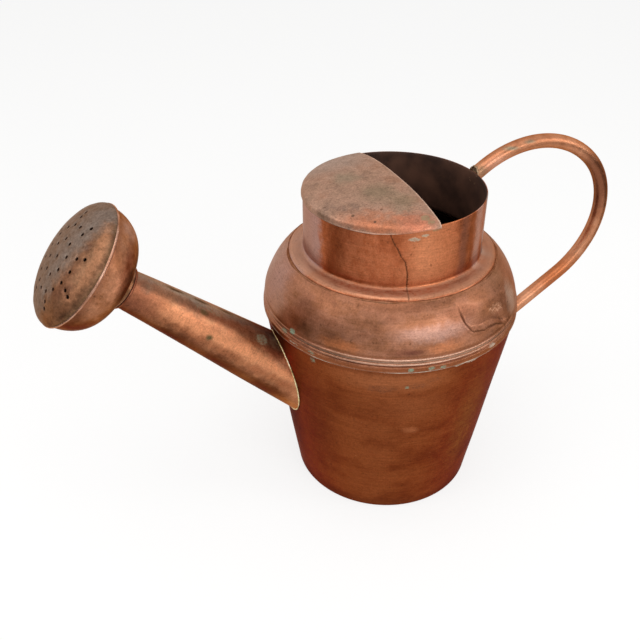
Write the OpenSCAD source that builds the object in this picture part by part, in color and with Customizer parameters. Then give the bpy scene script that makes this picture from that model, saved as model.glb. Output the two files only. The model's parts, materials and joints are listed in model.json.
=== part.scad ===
// Copper watering can with a half hood over its mouth and a rose that pulls off the spout.
// Millimetres. The origin is the centre of the base on the floor, +Z up.
// The spout points towards -X, the handle towards +X, and XZ is the plane of symmetry.

/* [Body] */
// Outer radius at the foot of the body
base_r = 75; // [65:1:85]
// Outer radius at the top of the body
top_r = 99.6; // [92:0.1:112]
// Height of the body up to the lower edge of the shoulder's skirt
body_h = 161.6; // [140:0.1:190]
// Thickness of the copper sheet of the can
sheet = 0.9; // [0.6:0.1:1.4]
// Radius of the corner between wall and bottom
corner_r = 2.5; // [1.5:0.1:6]
// Height of the body's lip inside the skirt
lip_h = 3.2; // [2:0.1:3.4]
// Radius of the water hole behind the spout
water_hole_r = 18; // [10:0.5:19]

/* [Shoulder] */
// Height of the skirt that laps over the body
skirt_h = 3.8; // [3.6:0.1:6]
// How far the shoulder steps in above its skirt
step_in = 1.4; // [1:0.1:2.5]
// Radius of each of the two rolled beads
bead_r = 1.1; // [0.6:0.1:1.5]
// Distance between the two beads
bead_pitch = 3.4; // [3:0.1:5]
// Height of the dome from the upper bead to the neck's foot
dome_h = 35.3; // [28:0.1:48]
// How far the dome's side leans in before it turns over
dome_lean = 3.8; // [1:0.1:8]
// Share of the dome's height at which its side turns over
dome_turn = 0.64; // [0.45:0.01:0.8]

/* [Neck] */
// Outer radius of the neck
neck_r = 68; // [55:0.5:74]
// Height of the neck from its foot flange to the rim
neck_h = 47.7; // [35:0.1:65]
// Width of the neck's foot flange outside the neck
foot_w = 11.6; // [6:0.1:14]
// Rise of the foot flange from its edge to the neck
foot_rise = 2.4; // [1:0.1:4]
// Radius of the bend between flange and neck
foot_bend = 2.8; // [1.5:0.1:4]

/* [Hood] */
// Height of the hood's skirt outside the neck
hood_skirt = 5; // [3:0.1:10]
// Height of the hood's dome above the rim
hood_rise = 8; // [4:0.1:20]
// Fullness of the hood's dome, 2 is a parabola
hood_power = 2.5; // [2:0.1:4]
// Distance of the hood's cut edge past the middle of the mouth
hood_edge_x = 1; // [-20:0.5:20]

/* [Spout] */
// Height at which the spout's axis leaves the body's wall
spout_h = 116.5; // [105:0.5:120]
// Tilt of the spout above the floor
spout_tilt = 42.2; // [38:0.1:50]
// Outer radius of the spout where its axis leaves the wall
spout_root_r = 23.8; // [20:0.1:26]
// Outer radius of the spout where the rose's socket begins
spout_seat_r = 14.1; // [10:0.1:17]
// Length of the spout's axis from the wall to the rose's socket
spout_len = 150.2; // [120:0.1:180]
// Length of the spout inside the rose's socket
tip_len = 19; // [14:0.5:21]
// Thickness of the spout's sheet
spout_sheet = 0.9; // [0.6:0.1:1.4]

/* [Rose] */
// Radial clearance of the rose's socket on the spout
socket_gap = 0.25; // [0.15:0.05:0.5]
// Thickness of the rose's sheet
rose_sheet = 0.8; // [0.6:0.1:1.2]
// Length of the rose's socket
socket_len = 24; // [21.5:0.5:30]
// Radius of the rolled ring at the socket's mouth
ring_r = 1; // [0.5:0.1:1.5]
// Distance from the socket's mouth to the flat back of the bell
bell_back = 9.2; // [6:0.1:16]
// Radius at which the bell's back turns into its side
bell_back_r = 23.3; // [19.5:0.1:34]
// Outer radius of the bell at its front
bell_r = 44.3; // [36:0.1:60]
// Depth of the bell from its flat back to its front
bell_depth = 25.9; // [15:0.1:40]
// Radius of the bead round the face
face_bead_r = 1.05; // [0.9:0.05:1.8]
// Height of the face's dome in front of its bead
face_rise = 17; // [8:0.5:25]
// Radius of the sprinkling holes
hole_r = 1.2; // [0.5:0.1:1.6]
// Distance from the outermost ring of holes to the bell's edge
hole_margin = 10.3; // [8:0.1:16]

/* [Handle] */
// Outer radius of the handle's tube
tube_r = 5.6; // [4:0.1:8]
// Wall of the handle's tube
tube_wall = 1; // [0.6:0.1:1.5]
// Height of the tube's middle where it meets the neck, below the rim
grip_drop = 2.7; // [0:0.1:8]
// Angle at which the tube rises from the neck
grip_angle = 35.4; // [32:0.1:42]
// Length of the straight stretch between the neck and the first bend
grip_out = 7; // [6:0.5:12]
// Radius of the first bend, over the hand
bend_a = 80.9; // [74:0.1:86]
// Radius of the second bend, behind the hand
bend_b = 63.7; // [58:0.1:69]
// Radius of the third bend, down towards the body
bend_c = 75.5; // [68:0.1:82]
// Sweep of the first bend
sweep_a = 80.9; // [77:0.1:84]
// Sweep of the second bend
sweep_b = 71.2; // [68:0.1:75]
// Sweep of the third bend
sweep_c = 29.6; // [26:0.1:32]

/* [Solder] */
// Width of the solder fillets
fillet_w = 1.3; // [0.8:0.1:2.2]
// Film of solder between pieces that lie on each other
film = 0.1; // [0.05:0.01:0.2]
// Bed of solder under the handle's two ends
bed = 0.4; // [0.2:0.05:0.8]

/* [Hidden] */
copper = "#8a4f32";
bright_copper = "#b06a43";
solder = "#b9b2a6";
round_n = 96;
far = 400;
// Hair's breadth between solder and the sheet that it wets
touch = 0.02;
// Rise of the shoulder's step above its skirt
step_rise = 0.6;
// Rounded step at the edge of the dome, round the neck's foot
crease = 0.3;
// Gap between the socket's ring and the bell's collar
collar_gap = 0.4;
// Gap between the bell's edge and the face's bead, and how far the bead stands out
rim_gap = 0.15;
rim_out = 0.45;

// Heights and radii that follow from the sizes above
taper = (top_r - base_r) / body_h;
skirt_r = top_r + film + sheet;
shoulder_r = skirt_r - step_in;
skirt_top = body_h + skirt_h;
bead_z = skirt_top + step_rise + 2 * film + bead_r;
dome_z = bead_z + bead_pitch + bead_r + 2 * film;
foot_r = neck_r + foot_w;
foot_z = dome_z + dome_h;
rim_z = foot_z + foot_rise + neck_h;
spout_x = base_r + taper * spout_h;
spout_slope = (spout_seat_r - spout_root_r) / spout_len;
face_u = spout_len + bell_back + bell_depth + face_bead_r + rim_gap;
face_r = bell_r + rim_out;

// Rings of sprinkling holes in the face: share of the outermost ring's radius, number of places,
// angle of the first place, places that were never punched
hole_rings = [[0, 1, 0, []], [0.37, 8, -16, []], [0.69, 16, 7, [14]], [0.88, 8, -14, []],
    [1, 8, -15, [0, 7]]];
// The rings were struck by hand, off the face's middle
hole_middle = [1, -5.5];

// ---- outlines of turned sheet, as [radius, height] points ----
function unit(v) = v / norm(v);
function left(v) = [-v[1], v[0]];
function corner(a, b, c, t) =
    let (n = left(unit(b - a)), m = unit(n + left(unit(c - b)))) b + m * t / (m * n);
// The same outline moved to its left by the thickness t
function inset(p, t) = [for (i = [0:len(p) - 1])
    i == 0 ? p[0] + left(unit(p[1] - p[0])) * t :
    i == len(p) - 1 ? p[i] + left(unit(p[i] - p[i - 1])) * t :
    corner(p[i - 1], p[i], p[i + 1], t)];
function backwards(p) = [for (i = [len(p) - 1:-1:0]) p[i]];
// Points of a circle's arc from angle a to angle b
function arc(c, r, a, b, n) = [for (i = [0:n]) let (w = a + (b - a) * i / n) c + r * [cos(w), sin(w)]];
// A curve from a to c that leaves and arrives towards the corner b
function bend(a, b, c, n) = [for (i = [0:n]) let (u = i / n)
    a * (1 - u) * (1 - u) + b * 2 * u * (1 - u) + c * u * u];

module turned(outline) rotate_extrude($fn = round_n) polygon([for (q = outline) [max(q[0], 0), q[1]]]);
module turned_sheet(outer, t) turned(concat(outer, backwards(inset(outer, t))));

// ---- the can ----
body_outer = concat(
    [[0, 0]],
    arc([base_r - corner_r, corner_r], corner_r, -90, -8, 4),
    [[top_r, body_h], [top_r, body_h + lip_h]]);

module body() color(copper) difference() {
    turned_sheet(body_outer, sheet);
    along_spout() translate([0, 0, -far / 6]) cylinder(r = water_hole_r, h = far / 3, $fn = 64);
}

dome_start = [shoulder_r, dome_z];
dome_corner = [shoulder_r - dome_lean, dome_z + dome_h * dome_turn];
dome_end = [foot_r + 3 * crease, foot_z - 2 * crease];
// The flat land under the neck's foot slopes as the foot does
foot_slope = foot_rise / (foot_w - foot_bend);
land_start = [foot_r + crease, foot_z - sheet - 2 * film];
land_end = land_start + [-1, foot_slope] * (foot_w - foot_bend - 2 * film);

shoulder_outer = concat(
    [[skirt_r, body_h], [skirt_r, skirt_top], [shoulder_r, skirt_top + step_rise]],
    arc([shoulder_r, bead_z], bead_r, -80, 80, 6),
    arc([shoulder_r, bead_z + bead_pitch], bead_r, -80, 80, 6),
    bend(dome_start, dome_corner, dome_end, 12),
    [land_start, land_end]);
shoulder_inner = concat(
    [[skirt_r - sheet, body_h], [skirt_r - sheet, skirt_top - 2 * film],
        [shoulder_r - sheet, skirt_top + step_rise]],
    inset(concat(bend(dome_start, dome_corner, dome_end, 12), [land_start, land_end]), sheet));

module shoulder() color(copper) turned(concat(shoulder_outer, backwards(shoulder_inner)));

neck_outer = concat(
    [[foot_r, foot_z]],
    bend([neck_r + foot_bend, foot_z + foot_rise], [neck_r, foot_z + foot_rise + 2 * crease],
        [neck_r, foot_z + foot_rise + foot_bend], 5),
    [[neck_r, rim_z]]);

module neck() color(copper) turned_sheet(neck_outer, sheet);

hood_r = neck_r + film + sheet;
hood_outer = concat(
    [[hood_r, rim_z - hood_skirt]],
    [for (i = [0:12]) let (r = hood_r * cos(i * 7.5))
        [r, rim_z + sheet - film + hood_rise * (1 - pow(r / hood_r, hood_power))]]);

module hood() color(copper) difference() {
    turned_sheet(hood_outer, sheet);
    translate([hood_edge_x, -far / 2, 0]) cube([far, far, far]);
}

// ---- the spout ----
// Places its children on the spout's axis, +Z outwards from the body's wall
module along_spout() translate([-spout_x, 0, spout_h]) rotate([0, spout_tilt - 90, 0]) children();
function spout_r_at(u) = spout_root_r + spout_slope * u;
// A cone that keeps the distance extra from the spout's outer face, from u to v along its axis
module spout_cone(u, v, extra) along_spout() translate([0, 0, u])
    cylinder(r1 = spout_r_at(u) + extra, r2 = spout_r_at(v) + extra, h = v - u, $fn = 96);
// The body as a solid, grown by the distance extra
module body_block(extra) translate([0, 0, -extra])
    cylinder(r1 = base_r + extra - taper * extra, r2 = top_r + extra, h = body_h + extra, $fn = 128);

spout_sunk = -60;

module spout() color(copper) difference() {
    spout_cone(spout_sunk, spout_len + tip_len, 0);
    spout_cone(spout_sunk - 1, spout_len + tip_len + 1, -spout_sheet);
    body_block(film);
}

module spout_solder() color(solder) difference() {
    intersection() {
        spout_cone(spout_sunk, spout_root_r * 2, fillet_w);
        body_block(fillet_w);
    }
    spout_cone(spout_sunk - 1, spout_root_r * 2 + 1, touch);
    body_block(touch);
}

// ---- the handle ----
grip_z = rim_z - grip_drop;
inner_r = tube_r - tube_wall;
tube_sides = 20;
grip_in = 8;
foot_in = 100;

// A course is a list of [x, z, angle of its direction]. An arc turns it down by the angle sweep.
function ahead(q, d) = [q[0] + d * cos(q[2]), q[1] + d * sin(q[2]), q[2]];
function turn_down(q, r, sweep, n) = [for (i = [1:n]) let (w = q[2] - sweep * i / n)
    [q[0] + r * (sin(q[2]) - sin(w)), q[1] + r * (cos(w) - cos(q[2])), w]];
grip_start = [neck_r, grip_z, grip_angle];
bend_start = ahead(grip_start, grip_out);
course_a = turn_down(bend_start, bend_a, sweep_a, 11);
course_b = turn_down(course_a[10], bend_b, sweep_b, 10);
course_c = turn_down(course_b[9], bend_c, sweep_c, 4);
foot_start = course_c[3];
course = concat([ahead(grip_start, -grip_in), bend_start], course_a, course_b, course_c,
    [ahead(foot_start, foot_in)]);

function ring_at(q, r) = [for (k = [0:tube_sides - 1]) let (w = k * 360 / tube_sides)
    [q[0] - r * cos(w) * sin(q[2]), r * sin(w), q[1] + r * cos(w) * cos(q[2])]];
// Index of the corner k on ring i, where inner rings follow the outer ones
function at(i, k) = i * tube_sides + k % tube_sides;

module bent_tube() {
    n = len(course);
    polyhedron(
        points = concat(
            [for (q = course) each ring_at(q, tube_r)],
            [for (q = course) each ring_at(q, inner_r)]),
        faces = concat(
            [for (i = [0:n - 2], k = [0:tube_sides - 1])
                [at(i, k), at(i, k + 1), at(i + 1, k + 1), at(i + 1, k)]],
            [for (i = [n:2 * n - 2], k = [0:tube_sides - 1])
                [at(i + 1, k), at(i + 1, k + 1), at(i, k + 1), at(i, k)]],
            [for (k = [0:tube_sides - 1]) [at(n, k), at(n, k + 1), at(0, k + 1), at(0, k)]],
            [for (k = [0:tube_sides - 1])
                [at(n - 1, k), at(n - 1, k + 1), at(2 * n - 1, k + 1), at(2 * n - 1, k)]]));
}
// The neck as a solid, grown by the distance extra
module neck_block(extra) translate([0, 0, body_h]) cylinder(r = neck_r + extra, h = far / 2, $fn = 128);

module handle() color(bright_copper) difference() {
    bent_tube();
    body_block(bed);
    neck_block(bed);
}

// A short rod round the course at q, from the distance back before it to the distance on after it
module rod_at(q, r, back, on) translate([q[0], 0, q[1]]) rotate([0, 90 - q[2], 0])
    translate([0, 0, -back]) cylinder(r = r, h = back + on, $fn = 48);
// The cut end of the tube's wall, with room for the tube's flat sides
module wall_at(q, back, on) difference() {
    rod_at(q, tube_r + film, back, on);
    rod_at(q, inner_r - 2 * film, back + 1, on + 1);
}

module handle_top_solder() color(solder) difference() {
    intersection() {
        rod_at(grip_start, tube_r + fillet_w, grip_in, grip_in);
        neck_block(fillet_w);
    }
    neck_block(touch);
    difference() {
        wall_at(grip_start, grip_in + 1, grip_in + 1);
        neck_block(bed - touch);
    }
}

module handle_foot_solder() color(solder) difference() {
    intersection() {
        rod_at(foot_start, tube_r + fillet_w, -foot_in / 2, foot_in);
        body_block(fillet_w);
    }
    body_block(touch);
    difference() {
        wall_at(foot_start, -foot_in / 2 + 1, foot_in + 1);
        body_block(bed - touch);
    }
}

// ---- rings of solder ----
module shoulder_solder() color(solder)
    turned([[top_r + touch, body_h - touch], [skirt_r, body_h - touch],
        [top_r + touch, body_h - fillet_w]]);

module neck_solder() color(solder)
    turned([[foot_r + film / 2, foot_z - 5 * film], [foot_r + 2 * crease, foot_z - 4.5 * film],
        [foot_r + film / 2, foot_z - film / 2]]);

// ---- the rose ----
socket_outer = concat(
    arc([spout_seat_r + socket_gap + rose_sheet, spout_len + ring_r], ring_r, -90, 96, 6),
    [[spout_r_at(spout_len + socket_len) + socket_gap + rose_sheet, spout_len + socket_len]]);
socket_inner = [
    [spout_r_at(spout_len) + socket_gap, spout_len],
    [spout_r_at(spout_len + socket_len) + socket_gap, spout_len + socket_len]];

module rose_socket() color(copper) along_spout() turned(concat(socket_outer, backwards(socket_inner)));

collar_r = spout_seat_r + socket_gap + 2 * rose_sheet + film;
collar_u = spout_len + 2 * ring_r + collar_gap;
back_u = spout_len + bell_back;
bell_outer = concat(
    [[collar_r, collar_u]],
    bend([collar_r + film, collar_u + 2 * rose_sheet], [collar_r + 3 * film, back_u],
        [bell_back_r, back_u], 6),
    [for (i = [1:10]) [bell_back_r + (bell_r - bell_back_r) * sin(i * 9),
        back_u + bell_depth * (1 - cos(i * 9))]]);

module rose_bell() color(copper) along_spout() turned_sheet(bell_outer, rose_sheet);

dome_face = [for (i = [0:12]) [(face_r + face_bead_r) * cos(i * 7.5), face_u + face_rise * sin(i * 7.5)]];
face_front = concat(arc([face_r, face_u], face_bead_r, -170, -15, 6), dome_face);

module rose_face() color(bright_copper) along_spout() difference() {
    turned(concat(face_front, backwards(inset(dome_face, rose_sheet))));
    translate([hole_middle[0], hole_middle[1], face_u + 2 * face_bead_r])
        for (ring = hole_rings, i = [0:ring[1] - 1])
            if (len(search(i, ring[3])) == 0)
                rotate([0, 0, ring[2] + i * 360 / ring[1]])
                    translate([ring[0] * (bell_r - hole_margin), 0, 0])
                        cylinder(r = hole_r, h = 2 * face_rise, $fn = 24);
}

body();
shoulder();
neck();
hood();
spout();
handle();
shoulder_solder();
neck_solder();
spout_solder();
handle_top_solder();
handle_foot_solder();
rose_socket();
rose_bell();
rose_face();
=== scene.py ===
# %% [markdown]
# # An old copper watering can
# The can is made the way a coppersmith makes one. Flat sheet is turned into round shells, the
# shells lap over each other, and soft solder holds the laps. This lesson rebuilds each shell as a
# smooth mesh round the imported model, then gives every piece the finish that years outdoors left.
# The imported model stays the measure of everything, and nothing reaches outside its box.

# %% Load the frame
import json
import math

import bmesh
import bpy
import numpy as np
from mathutils import Matrix, Vector


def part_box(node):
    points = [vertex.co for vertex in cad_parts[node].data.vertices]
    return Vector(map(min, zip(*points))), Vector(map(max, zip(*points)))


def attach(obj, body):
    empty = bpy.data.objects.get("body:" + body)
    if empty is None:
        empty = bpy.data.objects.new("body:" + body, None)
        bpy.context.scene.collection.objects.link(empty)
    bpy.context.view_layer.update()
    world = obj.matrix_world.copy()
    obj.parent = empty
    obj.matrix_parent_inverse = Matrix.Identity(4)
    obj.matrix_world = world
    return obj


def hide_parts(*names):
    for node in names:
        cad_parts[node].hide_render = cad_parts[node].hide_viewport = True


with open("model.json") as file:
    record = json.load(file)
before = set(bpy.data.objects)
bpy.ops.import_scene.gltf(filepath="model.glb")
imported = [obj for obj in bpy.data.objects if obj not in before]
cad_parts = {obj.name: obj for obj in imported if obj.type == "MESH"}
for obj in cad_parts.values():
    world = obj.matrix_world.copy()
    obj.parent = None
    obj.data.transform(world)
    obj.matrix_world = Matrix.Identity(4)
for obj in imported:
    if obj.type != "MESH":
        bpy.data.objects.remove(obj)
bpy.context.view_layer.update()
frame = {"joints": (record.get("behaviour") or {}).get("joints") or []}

MM = 0.001


def box_mm(node):
    """Lowest and highest corner of a CAD node, in millimetres."""
    low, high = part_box(node)
    return np.array(low) / MM, np.array(high) / MM


# %% [markdown]
# ## Camera
# The can is seen from the front and from above, turned a little so that the spout comes forward.
# A camera is a place and three directions. Written as a matrix, its columns are what is right of
# the camera, what is above it and what is behind it, so no angle has to be guessed.

# %% Camera
CAMERA_AT = Vector((-249.57, -475.33, 498.53)) * MM
CAMERA_RIGHT = Vector((0.92744, -0.37394, -0.00506))
CAMERA_UP = Vector((0.21278, 0.51653, 0.82941))
CAMERA_BACK = CAMERA_RIGHT.cross(CAMERA_UP)
LENS_MM = 44.095

camera_data = bpy.data.cameras.new("camera")
camera_data.lens = LENS_MM
camera_data.sensor_width = 36
camera = bpy.data.objects.new("camera", camera_data)
turn = Matrix((CAMERA_RIGHT, CAMERA_UP, CAMERA_BACK)).transposed().to_4x4()
camera.matrix_world = Matrix.Translation(CAMERA_AT) @ turn
bpy.context.scene.collection.objects.link(camera)
bpy.context.scene.camera = camera
print("camera is", round(CAMERA_AT.length, 3), "m from the origin")

# %% [markdown]
# ## Colours and nodes
# Colours are picked as they look on a screen, in hex. The renderer works with linear light, so one
# function converts them. A second small function adds a shader node with its settings and links,
# which keeps every material below to a list of what it is made of.

# %% Helpers for materials


def linear(code):
    """Turns an sRGB colour such as "#b8734f" into linear red, green, blue and alpha."""
    parts = [int(code[i:i + 2], 16) / 255 for i in (1, 3, 5)]
    curve = [p / 12.92 if p <= 0.04045 else ((p + 0.055) / 1.055) ** 2.4 for p in parts]
    return (*curve, 1.0)


def add(tree, kind, inputs=None, **settings):
    """Adds a node of that kind, sets it up, and sets or links its inputs."""
    made = tree.nodes.new(kind)
    for name, value in settings.items():
        setattr(made, name, value)
    for key, value in (inputs or {}).items():
        if isinstance(value, bpy.types.NodeSocket):
            tree.links.new(value, made.inputs[key])
        else:
            made.inputs[key].default_value = value
    return made


print("copper in linear light:", [round(c, 3) for c in linear("#b8734f")])

# %% [markdown]
# ## Floor and world
# A plain pale floor takes the shadow. Metal shows what stands round it, so the light has to have a
# shape. The world is white overhead and a soft grey in front of the can, where a real room is darker
# than its ceiling. What the camera sees behind the can is set apart from that by the kind of ray, so
# the background is white with no more light on the metal.

# %% Floor and world
WHITE = (1, 1, 1, 1)
FLOOR_SIZE = 6.0
floor_mesh = bpy.data.meshes.new("floor")
half = FLOOR_SIZE / 2
corners = [(-half, -half, 0), (half, -half, 0), (half, half, 0), (-half, half, 0)]
floor_mesh.from_pydata(corners, [], [(0, 1, 2, 3)])
floor = bpy.data.objects.new("floor", floor_mesh)
bpy.context.scene.collection.objects.link(floor)
paper = bpy.data.materials.new("matte_white_paper")
paper.use_nodes = True
sheet_tree = paper.node_tree
sheet_tree.nodes.clear()
PAPER_GLOW = 0.72
PAPER_WHITE = 1.05
paper_ray = add(sheet_tree, "ShaderNodeLightPath").outputs
looked_at = add(sheet_tree, "ShaderNodeMath", {
    0: paper_ray["Is Camera Ray"], 1: paper_ray["Is Transmission Ray"]}, operation="MAXIMUM").outputs[0]
mirrored = add(sheet_tree, "ShaderNodeMath", {
    0: looked_at, 1: paper_ray["Is Glossy Ray"]}, operation="MAXIMUM").outputs[0]
glow_share = add(sheet_tree, "ShaderNodeMath", {
    0: mirrored, 1: PAPER_GLOW}, operation="MULTIPLY").outputs[0]
matte = add(sheet_tree, "ShaderNodeBsdfDiffuse", {"Color": linear("#f6f5f3")}).outputs[0]
glow = add(sheet_tree, "ShaderNodeEmission", {"Color": WHITE, "Strength": PAPER_WHITE}).outputs[0]
paper_mix = add(sheet_tree, "ShaderNodeMixShader", {0: glow_share, 1: matte, 2: glow}).outputs[0]
add(sheet_tree, "ShaderNodeOutputMaterial", {"Surface": paper_mix})
floor_mesh.materials.append(paper)

WORLD_LIGHT = 0.62
ROOM_SHADE = 0.58
world = bpy.data.worlds.new("bright_room")
world.use_nodes = True
bpy.context.scene.world = world
sky = world.node_tree
sky.nodes.clear()
sky_way = add(sky, "ShaderNodeTexCoord").outputs["Generated"]
# The room in front of the can, low down, is the darker part of what the metal shows
ROOM_SIDE = (-0.32, -0.80, -0.50)
toward_room = add(sky, "ShaderNodeVectorMath", {0: sky_way, 1: ROOM_SIDE}, operation="DOT_PRODUCT")
room = add(sky, "ShaderNodeMapRange", {
    "Value": toward_room.outputs["Value"], "From Min": -0.55, "From Max": 0.85, "To Min": 1.0,
    "To Max": ROOM_SHADE,
}, interpolation_type="SMOOTHSTEP")
shown = add(sky, "ShaderNodeBackground", {"Color": WHITE, "Strength": room.outputs["Result"]})
seen = add(sky, "ShaderNodeBackground", {"Color": WHITE, "Strength": 1.0})
lit = add(sky, "ShaderNodeBackground", {"Color": WHITE, "Strength": WORLD_LIGHT})
ray = add(sky, "ShaderNodeLightPath")
for_glossy = add(sky, "ShaderNodeMixShader", {
    0: ray.outputs["Is Glossy Ray"], 1: lit.outputs[0], 2: shown.outputs[0]})
for_glass = add(sky, "ShaderNodeMixShader", {
    0: ray.outputs["Is Transmission Ray"], 1: for_glossy.outputs[0], 2: seen.outputs[0]})
for_camera = add(sky, "ShaderNodeMixShader", {
    0: ray.outputs["Is Camera Ray"], 1: for_glass.outputs[0], 2: seen.outputs[0]})
add(sky, "ShaderNodeOutputWorld", {"Surface": for_camera.outputs[0]})
bpy.context.scene.view_settings.view_transform = "Standard"
print("floor", FLOOR_SIZE, "m wide, and a world of strength", WORLD_LIGHT)

# %% [markdown]
# ## Lamps and cards
# Four soft lamps stand round the can. One hangs above it. The wide one at the left draws the band
# on the shoulder, the one in front fills the body, and the narrow one at the right draws the edge
# of the neck. Metal also needs something darker to show, so two grey cards stand where only
# reflections see them.

# %% Lamps


def lamp(name, at, aim, size, power):
    """A rectangular lamp at one place that faces another."""
    data = bpy.data.lights.new(name, "AREA")
    data.shape = "RECTANGLE"
    data.size, data.size_y = size
    data.energy = power
    made = bpy.data.objects.new(name, data)
    made.location = at
    made.rotation_euler = (Vector(aim) - Vector(at)).to_track_quat("-Z", "Y").to_euler()
    bpy.context.scene.collection.objects.link(made)
    return made


MIDDLE = (0, 0, 0.15)
lamp("overhead", (-0.25, -0.35, 1.5), MIDDLE, (1.1, 0.9), 5.0)
lamp("window_left", (-1.5, 0.1, 0.95), MIDDLE, (0.9, 1.1), 5.0)
lamp("front_band", (0.15, -1.5, 0.8), MIDDLE, (1.4, 0.4), 7.0)
lamp("strip_right", (1.1, -0.8, 0.45), MIDDLE, (0.35, 1.0), 3.5)


def card(name, at, size, tone):
    """An upright card that only reflections see, to give the metal a darker side."""
    wide, high = size
    mesh = bpy.data.meshes.new(name)
    mesh.from_pydata([(0, -wide / 2, 0), (0, wide / 2, 0), (0, wide / 2, high), (0, -wide / 2, high)], [],
                     [(0, 1, 2, 3)])
    made = bpy.data.objects.new(name, mesh)
    made.location = at
    made.rotation_euler = (0, 0, math.atan2(at[1], at[0]))
    made.visible_camera = made.visible_diffuse = made.visible_shadow = made.visible_transmission = False
    felt = bpy.data.materials.new(name + "_felt")
    felt.use_nodes = True
    felt.node_tree.nodes["Principled BSDF"].inputs["Base Color"].default_value = linear(tone)
    felt.node_tree.nodes["Principled BSDF"].inputs["Roughness"].default_value = 1.0
    mesh.materials.append(felt)
    bpy.context.scene.collection.objects.link(made)
    return made


card("dark_card_left", (-0.50, -0.10, 0), (0.42, 0.30), "#857b73")
card("dark_card_right", (0.42, -0.16, 0), (0.30, 0.26), "#857b73")
print("four lamps and two cards")

# %% [markdown]
# ## Turning sheet metal
# Nearly every piece is a round shell of even thickness. It can be drawn as one line from foot to
# rim, as a turner's template is. The line is offset by the sheet's thickness, both edges are
# rounded, and the closed outline is turned about its axis. A grid of points does this better than
# a screw modifier here, because a dent or a lap can be pressed into the grid while it is made.

# %% Outlines and grids


def arc(centre, radius, start, end, steps):
    """Points of a circle's arc, angles in degrees."""
    turns = np.radians(np.linspace(start, end, steps + 1))
    return [(centre[0] + radius * math.cos(w), centre[1] + radius * math.sin(w)) for w in turns]


def bend(a, b, c, steps):
    """A curve that leaves a towards b and arrives at c from b."""
    u = np.linspace(0, 1, steps + 1)[:, None]
    return (np.array(a) * (1 - u) ** 2 + np.array(b) * 2 * u * (1 - u) + np.array(c) * u * u).tolist()


def dense(points, step):
    """The same line with no stretch longer than step."""
    line = [np.array(points[0], float)]
    for q in np.array(points[1:], float):
        parts = max(1, math.ceil(np.linalg.norm(q - line[-1]) / step))
        start = line[-1]
        line += [start + (q - start) * (i + 1) / parts for i in range(parts)]
    return np.array(line)


def inset(line, thickness):
    """The line moved to its left by the thickness."""
    way = np.gradient(line, axis=0)
    way /= np.linalg.norm(way, axis=1)[:, None]
    return line + thickness * np.stack([-way[:, 1], way[:, 0]], 1)


def lip(a, b, steps=4):
    """A round edge from a to b, without its two ends."""
    middle = (a + b) / 2
    arm = a - middle
    side = np.array([-arm[1], arm[0]])
    turns = np.linspace(0, math.pi, steps + 2)[1:-1]
    return np.array([middle + arm * math.cos(w) + side * math.sin(w) for w in turns])


def sheet(points, thickness, step=1.5, coarse=3):
    """Closed outline of a sheet whose outer face follows the points, and the row its inside begins at."""
    outer = dense(points, step)
    inner = inset(outer, thickness)[::-1][::coarse]
    inner = np.vstack([inner, inset(outer, thickness)[:1]])
    inner[:, 0] = np.maximum(inner[:, 0], 0)
    parts = [outer, lip(outer[-1], inner[0]), inner]
    if outer[0][0] > 0:
        parts.append(lip(inner[-1], outer[0]))
    return np.vstack(parts), len(outer) + 2


def skin(name, grid, sharp=32, inside=None):
    """A closed smooth mesh from rows and columns of points in mm that wrap round both ways.

    Rows from the number inside onwards get the second material.
    """
    rows, columns = grid.shape[:2]
    index = np.arange(rows * columns).reshape(rows, columns)
    below, beside = np.roll(index, -1, 0), np.roll(index, -1, 1)
    corner = np.roll(below, -1, 1)
    faces = np.stack([index, beside, corner, below], -1).reshape(-1, 4)
    mesh = bpy.data.meshes.new(name)
    mesh.from_pydata((grid.reshape(-1, 3) * MM).tolist(), [], faces.tolist())
    if inside:
        within = np.repeat(np.arange(rows) >= inside, columns)
        mesh.polygons.foreach_set("material_index", within.astype(int))
    shell = bmesh.new()
    shell.from_mesh(mesh)
    bmesh.ops.remove_doubles(shell, verts=shell.verts, dist=1e-6)
    bmesh.ops.recalc_face_normals(shell, faces=shell.faces)
    shell.to_mesh(mesh)
    shell.free()
    mesh.shade_smooth()
    mesh.set_sharp_from_angle(angle=math.radians(sharp))
    piece = bpy.data.objects.new(name, mesh)
    bpy.context.scene.collection.objects.link(piece)
    print(name, "has", len(mesh.polygons), "faces")
    return piece


def revolved(outline, columns, press=None):
    """Grid of the outline turned about Z. press(angle, height) gives how far each point moves out."""
    outline = np.asarray(outline, float)
    angle = np.linspace(-math.pi, math.pi, columns, endpoint=False)[None, :]
    radius = outline[:, :1] + 0 * angle
    height = outline[:, 1:] + 0 * angle
    if press:
        radius = np.where(radius > 0.01, radius + press(angle + 0 * radius, height), 0)
    return np.stack([radius * np.cos(angle), radius * np.sin(angle), height], -1)


def smooth(x, low, high):
    """0 below low, 1 above high, and a smooth rise between."""
    t = np.clip((x - low) / (high - low), 0, 1)
    return t * t * (3 - 2 * t)


def ripple(angle, height, amount, phase):
    """Slow waves that hand work and knocks leave in sheet metal."""
    waves = np.sin(2 * angle + phase + height / 37)
    waves = waves + 0.6 * np.sin(3 * angle - 2 * phase - height / 23)
    return amount * (waves + 0.4 * np.sin(5 * angle + 3 * phase + height / 15)) / 2


print("a strip of sheet 10 mm high is drawn with", len(sheet([(5, 0), (5, 10)], 0.9)[0]), "points")

# %% [markdown]
# ## Sizes
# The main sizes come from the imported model's boxes. A few that no box shows, such as the beads'
# height, are given here once. All are in millimetres.

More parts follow.
